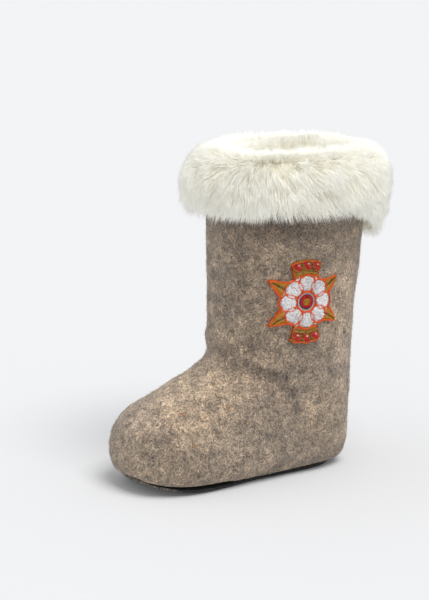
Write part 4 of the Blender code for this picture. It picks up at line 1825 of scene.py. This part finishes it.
@dataclass
class Embroidery:
    """The raised flower on the shaft's outer side, with leaves and berries.

    Lengths are shares of half of its span unless they are given in MM, and directions are in
    degrees, 0 towards the toe and 90 up.

    Attributes:
        span: The flower's width from leaf tip to leaf tip.
        middle: Where its middle lies, as Y and height.
        thread_radius: Half-thickness of a thread.
        petals: How many petals it has.
        petal_reach: How far out a petal's middle lies.
        petal_radius: Half of a petal's width.
        leaves: Directions of its leaves.
        leaf_reach: How far out a leaf's point lies.
        leaf_spread: Half of the angle at a leaf's point.
        berries: Directions of its berries.
        berry_reach: How far out a berry's middle lies.
        berry_radius: A berry's radius.
        berry_slant: How far its stitches are turned from its direction.
        upper_rise: How far every second petal lies over the others.
        sheaf_half: Half of the angle of a sheaf under three berries.
        sheaf_reach: How far out a sheaf starts and ends.
        leaf_foot: How far out a leaf starts.
        heart_radius: Radius of the flower's heart.
        spokes: How many points the padding's outline has.
        edge_half: Half of the gap between an outline's two lines of stitches.
        threads: Finishes of the threads, in the order of Thread.
        seed: Which random numbers it draws.
    """

    span: float = 64 * MM
    middle: tuple[float, float] = (29.5 * MM, 126.2 * MM)
    thread_radius: float = 0.26 * MM
    petals: int = 8
    petal_reach: float = 0.40
    petal_radius: float = 0.21
    leaves: tuple[float, ...] = (-32, 32, 148, 212)
    leaf_reach: float = 0.96
    leaf_spread: float = 24
    berries: tuple[float, ...] = (74, 90, 106, 254, 270, 286)
    berry_reach: float = 0.79
    berry_radius: float = 0.13
    berry_slant: float = 51.566
    upper_rise: float = 0.75 * MM
    sheaf_half: float = 23
    sheaf_reach: tuple[float, float] = (13 * MM, 28.5 * MM)
    leaf_foot: float = 15 * MM
    heart_radius: float = 4.9 * MM
    spokes: int = 64
    edge_half: float = 0.22 * MM
    threads: tuple[ThreadFinish, ...] = (
        ThreadFinish("white_thread", colour=(0.80, 0.79, 0.80), spread=0.40),
        # A darker grey copy of the white thread, painted shade among the petals' stitches.
        ThreadFinish("shade_grey_thread", colour=(0.50, 0.50, 0.54), spread=0.40),
        ThreadFinish("orange_thread", colour=(0.74, 0.095, 0.005), spread=0.35),
        ThreadFinish("gold_thread", colour=(0.43, 0.205, 0.014), spread=0.50),
        ThreadFinish("red_thread", colour=(0.43, 0.006, 0.012), spread=0.45),
        ThreadFinish("brown_thread", colour=(0.045, 0.022, 0.016), spread=0.40),
    )
    seed: int = 8

    def build(self, node: Object, boot: Object, effects: Effects) -> list[Object]:
        """Makes the padding and all stitches.

        Args:
            node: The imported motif.
            boot: The felt boot that it is sewn on.
            effects: The shared effects.

        Returns:
            The padding and the stitches.
        """
        finishes = [thread.make(effects) for thread in self.threads]
        pad = smooth_copy(node, "embroidery_padding", 0)
        self._dress_padding(pad.data, finishes)
        book = StitchBook()
        chance = np.random.default_rng(self.seed)
        for direction in self.leaves:
            self._leaf(book, direction, chance)
        for direction in (self.berries[1], self.berries[4]):
            self._sheaf(book, direction, chance)
        self._outline(book, pad.data, chance)
        for direction in self.berries:
            self._berry(book, direction, chance)
        for shift, rise in ((0.5, 0.0), (0.0, self.upper_rise)):
            for number in range(self.petals):
                self._petal(book, 360 * (number + shift) / self.petals, rise, chance)
        self._heart(book, chance)
        stitches = self._make_stitches(book, (pad, boot), chance)
        for finish in finishes:
            stitches.data.materials.append(finish)
        return [pad, stitches]

    def _dress_padding(self, mesh: Mesh, finishes: list[Material]) -> None:
        """Gives the padding under the stitches gold, and under the petals grey, painted shade between
        their white stitches.

        Args:
            mesh: The padding's mesh.
            finishes: The materials of the threads.
        """
        for number in (Thread.GOLD.value, Thread.SHADE_GREY.value):
            mesh.materials.append(finishes[number])
        write_evenly(mesh, 0.3, 0.5)
        radius = (self.petal_reach + 0.7 * self.petal_radius) * self.span / 2
        for face in mesh.polygons:
            y, z = face.center.y - self.middle[0], face.center.z - self.middle[1]
            face.material_index = 1 if math.hypot(y, z) < radius else 0

    def _outline(self, book: StitchBook, mesh: Mesh, chance: Chance) -> None:
        """Sews an orange line along the padding's edge.

        Args:
            book: The stitches.
            mesh: The padding's mesh.
            chance: The source of random numbers.
        """
        points = points_of(mesh)
        flat = np.stack([self.middle[0] - points[:, 1], points[:, 2] - self.middle[1]], axis=1)
        spoke_angle = 2 * math.pi / self.spokes
        turn = np.round(np.arctan2(flat[:, 1], flat[:, 0]) / spoke_angle) % self.spokes
        reach = np.hypot(flat[:, 0], flat[:, 1])
        corners = []
        for spoke in range(self.spokes):
            here = np.flatnonzero(turn == spoke)
            corners.append(flat[here[np.argmax(reach[here])]])
        corners = np.array(corners)
        corners = corners * (1 - 0.5 * MM / np.hypot(corners[:, 0], corners[:, 1]))[:, None]
        for start, end in zip(corners, np.roll(corners, -1, axis=0)):
            way = end - start
            count = max(int(np.linalg.norm(way) / (0.8 * MM)), 1)
            middle = start + way * ((np.arange(count) + 0.5) / count)[:, None]
            step = unit(way)
            across = np.array([-step[1], step[0]])
            for shift in (-self.edge_half, self.edge_half):
                place = middle + across * shift + chance.normal(0, 0.05 * MM, middle.shape)
                book.lay(place, step * MM, Thread.ORANGE, 0.75 * MM)

    def _sheaf(self, book: StitchBook, direction: float, chance: Chance) -> None:
        """Sews the golden sheaf that carries three berries.

        Args:
            book: The stitches.
            direction: Where it points.
            chance: The source of random numbers.
        """
        for turn in np.arange(-self.sheaf_half, self.sheaf_half + 0.1, 1.35):
            ahead, _ = axes_towards(direction + turn)
            out = np.arange(*self.sheaf_reach, 2.1 * MM) + chance.uniform(0, 1.0 * MM)
            line = ahead * out[:, None] + chance.normal(0, 0.08 * MM, (len(out), 2))
            book.lay(line, ahead * 1.5 * MM, Thread.GOLD, 0.6 * MM)

    def _disc_points(self, centre: Array, radius: float, spacing: float) -> Array:
        """Places on a square lattice inside a disc.

        Args:
            centre: The disc's centre.
            radius: Its radius.
            spacing: The lattice's spacing.

        Returns:
            The places, one row of two lengths each.
        """
        reach = np.arange(-radius, radius + spacing, spacing)
        grid = np.stack(np.meshgrid(reach, reach), axis=-1).reshape(-1, 2)
        return centre + grid[np.hypot(grid[:, 0], grid[:, 1]) < radius]

    def _ring(
        self,
        book: StitchBook,
        centre: Array,
        radius: float,
        thread: Thread,
        crown: float,
        chance: Chance,
    ) -> None:
        """Sews an outline of overlapping stitches round a disc.

        Args:
            book: The stitches.
            centre: The disc's centre.
            radius: The outline's radius.
            thread: Its thread.
            crown: How high its stitches stand.
            chance: The source of random numbers.
        """
        count = max(int(2 * math.pi * radius / 1.1 / MM), 10)
        turn = 2 * math.pi * np.arange(count) / count
        half = 1.15 * MM / radius
        for offset in (-self.edge_half, self.edge_half):
            wander = radius + offset + chance.normal(0, 0.05 * MM, (count, 1))
            start = centre + wander * np.stack([np.cos(turn - half), np.sin(turn - half)], axis=1)
            end = centre + wander * np.stack([np.cos(turn + half), np.sin(turn + half)], axis=1)
            book.sew(start, end, thread, crown)

    def _petal(self, book: StitchBook, direction: float, raised: float, chance: Chance) -> None:
        """Sews one white petal with its orange outline.

        Args:
            book: The stitches.
            direction: Where the petal points.
            raised: How far it lies over the others.
            chance: The source of random numbers.
        """
        ahead, beside = axes_towards(direction)
        half_span = self.span / 2
        centre = ahead * self.petal_reach * half_span
        radius = self.petal_radius * half_span - 0.9 * MM
        places = self._disc_points(centre, radius - 1.0 * MM, 0.60 * MM)
        places = places + chance.normal(0, 0.18 * MM, places.shape)
        slant = math.radians(22) * np.sign((places - centre) @ beside)
        slant = (slant + chance.normal(0, 0.28, len(places)))[:, None]
        way = ahead * np.cos(slant) + beside * np.sin(slant)
        length = chance.uniform(1.5, 3.0, (len(places), 1)) * MM
        # One stitch in ten is the grey copy of the white thread: painted shade in the lumpy fill.
        shade_grey = chance.random(len(places)) < 0.10
        halves = way * length / 2
        for chosen, thread in ((~shade_grey, Thread.WHITE), (shade_grey, Thread.SHADE_GREY)):
            book.lay(places[chosen], halves[chosen], thread, 0.62 * MM + raised)
        self._ring(book, centre, radius + 0.35 * MM, Thread.ORANGE, 0.80 * MM + raised, chance)

    def _heart(self, book: StitchBook, chance: Chance) -> None:
        """Sews the flower's red and gold heart.

        Args:
            book: The stitches.
            chance: The source of random numbers.
        """
        middle = np.zeros(2)
        places = self._disc_points(middle, self.heart_radius - 0.3 * MM, 0.5 * MM)
        places = places + chance.normal(0, 0.12 * MM, (1, 2))
        outward = unit(places + 1e-6)
        around = np.stack([-outward[:, 1], outward[:, 0]], axis=1)
        inner = np.hypot(places[:, 0], places[:, 1]) < 2.4 * MM
        book.lay(places[~inner], outward[~inner] * 1.1 * MM, Thread.RED, 0.95 * MM)
        book.lay(places[inner], around[inner] * 0.77 * MM, Thread.GOLD, 1.15 * MM)
        self._ring(book, middle, self.heart_radius, Thread.BROWN, 0.8 * MM, chance)

    def _leaf(self, book: StitchBook, direction: float, chance: Chance) -> None:
        """Sews one golden leaf with its rib and its orange outline.

        Args:
            book: The stitches.
            direction: Where it points.
            chance: The source of random numbers.
        """
        ahead, beside = axes_towards(direction)
        reach = (self.leaf_reach - 0.02) * self.span / 2
        slope = math.tan(math.radians(self.leaf_spread))
        for side in (-1, 1):
            out = np.arange(self.leaf_foot, reach - 1.0 * MM, 0.42 * MM)
            wide = (reach - out) * slope * 0.86
            start = ahead * out[:, None] - ahead * 0.8 * MM
            end = ahead * (out + 0.55 * wide)[:, None] + beside * (side * wide)[:, None]
            end = end + chance.normal(0, 0.10 * MM, end.shape)
            book.sew(start, end, Thread.GOLD, 0.66 * MM)
            edge = np.arange(self.leaf_foot - 1.0 * MM, reach, 1.1 * MM)
            step = unit(ahead - beside * side * slope)
            for inset in (0.90, 0.99):
                half = side * (reach - edge) * slope * inset
                near = ahead * edge[:, None] + beside * half[:, None]
                book.lay(near, step * 1.2 * MM, Thread.ORANGE, 0.55 * MM)
        rib = np.arange(self.leaf_foot, reach - 2 * MM, 1.2 * MM)
        book.lay(ahead * rib[:, None], ahead * MM, Thread.BROWN, 0.95 * MM)

    def _berry(self, book: StitchBook, direction: float, chance: Chance) -> None:
        """Sews one red berry with its dark outline and a glint.

        Args:
            book: The stitches.
            direction: Where it points.
            chance: The source of random numbers.
        """
        ahead, _ = axes_towards(direction)
        centre = ahead * self.berry_reach * self.span / 2
        radius = self.berry_radius * self.span / 2 - 0.7 * MM
        across, beside = axes_towards(direction + self.berry_slant)
        out = np.arange(-radius + 0.25 * MM, radius, 0.36 * MM)[:, None]
        half = np.sqrt(np.maximum(radius**2 - out**2, 0.0))
        book.lay(centre + beside * out, across * half, Thread.RED, 0.80 * MM)
        self._ring(book, centre, radius + 0.2 * MM, Thread.BROWN, 0.55 * MM, chance)
        glint = centre + np.array([[-0.9, 1.0], [-0.5, 1.4]]) * MM
        book.lay(glint, across * 0.7 * MM, Thread.WHITE, 1.1 * MM)

    def _make_stitches(
        self, book: StitchBook, grounds: tuple[Object, ...], chance: Chance
    ) -> Object:
        """Lays every stitch on what is under it, as a thin thread that rises and dips back.

        Args:
            book: The stitches.
            grounds: The pieces that they are sewn on, the uppermost first.
            chance: The source of random numbers.

        Returns:
            The stitches as one piece.
        """
        graph = bpy.context.evaluated_depsgraph_get()
        trees = [BVHTree.FromObject(ground, graph) for ground in grounds]
        starts, ends = np.concatenate(book.starts), np.concatenate(book.ends)
        crowns, threads = np.concatenate(book.crowns), np.concatenate(book.threads)
        crowns = crowns + chance.uniform(-0.06, 0.10, len(crowns)) * MM
        shares = np.array([0.0, 0.22, 0.5, 0.78, 1.0])
        rises = np.array([-0.6, 0.35, 0.6, 0.35, -0.6])
        lines = np.empty((len(starts), len(shares), 3))
        for number, (start, end) in enumerate(zip(starts, ends)):
            for step, share in enumerate(shares):
                toeward, up = start + (end - start) * share
                point, normal = self._ground(trees, self.middle[0] - toeward, self.middle[1] + up)
                lines[number, step] = point + normal * (crowns[number] * rises[step])
        radii = np.tile(self.thread_radius * np.array([0.92, 1.0, 0.92]), (len(starts), 1))
        tone = chance.random(len(starts))
        return Strands(lines, radii, tone, threads, 4).build("embroidery_stitches")

    def _ground(self, trees: list[BVHTree], y: float, z: float) -> tuple[Vector, Vector]:
        """What lies under a place on the boot's outer side.

        Args:
            trees: The pieces under it, the uppermost first.
            y: The place's Y.
            z: Its height.

        Returns:
            The point on the surface, and the way the surface faces.
        """
        for tree in trees:
            point, normal, _, _ = tree.ray_cast(Vector((0.2, y, z)), Vector((-1, 0, 0)))
            if point is not None:
                return point, normal
        return Vector((0.04, y, z)), Vector((1, 0, 0))


@dataclass
class RubberSole:
    """The thin rough rubber sole under the felt.

    Attributes:
        finish: The rubber's finish.
        roughness: How far its skin is uneven.
        toe: How far forward the caught wool starts and is at its full, as Y.
    """

    finish: RubberFinish = RubberFinish("black_porous_rubber")
    roughness: float = 0.30 * MM
    toe: tuple[float, float] = (-58 * MM, -76 * MM)

    def build(self, node: Object, effects: Effects) -> Object:
        """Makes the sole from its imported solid.

        Args:
            node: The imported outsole.
            effects: The shared effects.

        Returns:
            The sole.
        """
        sole = smooth_copy(node, "rubber_sole", 3)
        mesh = sole.data
        points, normals = points_of(mesh), normals_of(mesh)
        lift = soft_noise(points, 2.2 * MM, 31) + 0.8 * soft_noise(points, 1.1 * MM, 32)
        side = np.clip(1 - np.abs(normals[:, 2]), 0.0, 1.0)
        moved = points + normals * (lift * self.roughness * side)[:, None]
        moved[:, 2] = np.maximum(moved[:, 2], 0.0)
        move_points(mesh, moved)
        toe = smooth_step(-points[:, 1], -self.toe[0], -self.toe[1])
        write_values(mesh, "toe", toe * side)
        mesh.materials.append(self.finish.make(effects))
        return sole


@dataclass
class FeltInsole:
    """The loose insole inside the foot.

    Attributes:
        finish: The insole's finish.
        roughness: How far its skin is uneven.
    """

    finish: InsoleFinish = InsoleFinish("pale_insole_felt")
    roughness: float = 0.2 * MM

    def build(self, node: Object, effects: Effects) -> Object:
        """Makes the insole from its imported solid.

        Args:
            node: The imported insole.
            effects: The shared effects.

        Returns:
            The insole.
        """
        insole = smooth_copy(node, "felt_insole", 2)
        mesh = insole.data
        points, normals = points_of(mesh), normals_of(mesh)
        lift = soft_noise(points, 6 * MM, 41) * self.roughness
        move_points(mesh, points + normals * lift[:, None])
        mesh.materials.append(self.finish.make(effects))
        return insole


@dataclass
class Studio:
    """The plain floor, the soft lights and the camera.

    Attributes:
        view: The photo's camera.
        sky: Brightness of the light from all sides.
        key: Strength of the main light.
        key_from: The main light's azimuth and elevation.
        key_size: How wide the main light looks, in degrees.
        fill: Strength of the weak light from the toe's side.
        fill_from: That light's azimuth and elevation.
        floor_half: How far the floor reaches from the boot.
        floor_finish: The floor's finish.
    """

    view: PhotoView = PhotoView()
    sky: float = 0.73
    key: float = 2.50
    key_from: tuple[float, float] = (100.0, 63.5)
    key_size: float = 34.0
    fill: float = 0.32
    fill_from: tuple[float, float] = (-22.0, 30.0)
    floor_half: float = 60.0
    floor_finish: FloorFinish = FloorFinish("pale_floor")

    def build(self, effects: Effects) -> None:
        """Sets up the floor, the lights and the camera.

        Args:
            effects: The shared effects.
        """
        self._floor(effects)
        self._lights()
        self._camera()

    def _floor(self, effects: Effects) -> None:
        """Lays a floor that fills the camera's view.

        Args:
            effects: The shared effects.
        """
        shape = bmesh.new()
        bmesh.ops.create_grid(shape, x_segments=4, y_segments=4, size=self.floor_half)
        floor = object_of_shape(shape, "floor")
        floor.data.materials.append(self.floor_finish.make(effects))

    def _lights(self) -> None:
        """Hangs two broad lights and fills the room with soft light."""
        scene = bpy.context.scene
        room = bpy.data.worlds.new("studio")
        room.use_nodes = True
        glow = room.node_tree.nodes["Background"]
        glow.inputs["Color"].default_value = (*DAYLIGHT, 1.0)
        glow.inputs["Strength"].default_value = self.sky
        scene.world = room
        for name, energy, source, width in (
            ("main_light", self.key, self.key_from, self.key_size),
            ("fill_light", self.fill, self.fill_from, 2 * self.key_size),
        ):
            lamp = bpy.data.lights.new(name, "SUN")
            lamp.energy = energy
            lamp.angle = math.radians(width)
            lamp.color = (1.0, 0.985, 0.96)
            holder = bpy.data.objects.new(name, lamp)
            holder.rotation_euler = facing(*source).to_track_quat("Z", "Y").to_euler()
            scene.collection.objects.link(holder)
        scene.view_settings.view_transform = "Standard"
        scene.view_settings.look = "None"

    def _camera(self) -> None:
        """Places the camera at the photo's angle."""
        lens = bpy.data.cameras.new("camera")
        lens.sensor_fit = "HORIZONTAL"
        lens.sensor_width = self.view.frame
        lens.lens = self.view.lens
        lens.clip_start = 0.01
        lens.clip_end = 200.0
        holder = bpy.data.objects.new("camera", lens)
        toward = facing(self.view.azimuth, self.view.elevation)
        holder.location = Vector(self.view.target) + toward * self.view.distance
        holder.rotation_euler = toward.to_track_quat("Z", "Y").to_euler()
        bpy.context.scene.collection.objects.link(holder)
        bpy.context.scene.camera = holder


def report(pieces: list[Object], replaced: str) -> None:
    """Ties pieces to the boot, hides the solid that they stand for, and logs their size.

    Args:
        pieces: The pieces.
        replaced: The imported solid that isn't shown.
    """
    for piece in pieces:
        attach(piece, "root")
        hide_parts(replaced)
        piece.data.calc_loop_triangles()
        LOG.info("%s: %d triangles", piece.name, len(piece.data.loop_triangles))


def main() -> None:
    """Builds the dressed boot and its studio."""
    logging.basicConfig(level=logging.INFO, format="%(name)s: %(message)s")
    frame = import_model()
    nodes = frame["nodes"]
    effects = Effects()
    felt = nodes["felt_upper"]
    shaft = ShaftForm.read(felt, 96 * MM, 213.5 * MM)
    boot = FeltBoot().build(felt, nodes["outsole"], effects)
    report([boot], "felt_upper")
    report(FeltNap().build(boot, effects), "felt_upper")
    report(FurCuff().build(shaft, effects), "fur_cuff")
    motif = Embroidery().build(nodes["embroidered_motif"], boot, effects)
    report(motif, "embroidered_motif")
    report([RubberSole().build(nodes["outsole"], effects)], "outsole")
    report([FeltInsole().build(nodes["insole"], effects)], "insole")
    Studio().build(effects)


if __name__ == "__main__":
    main()
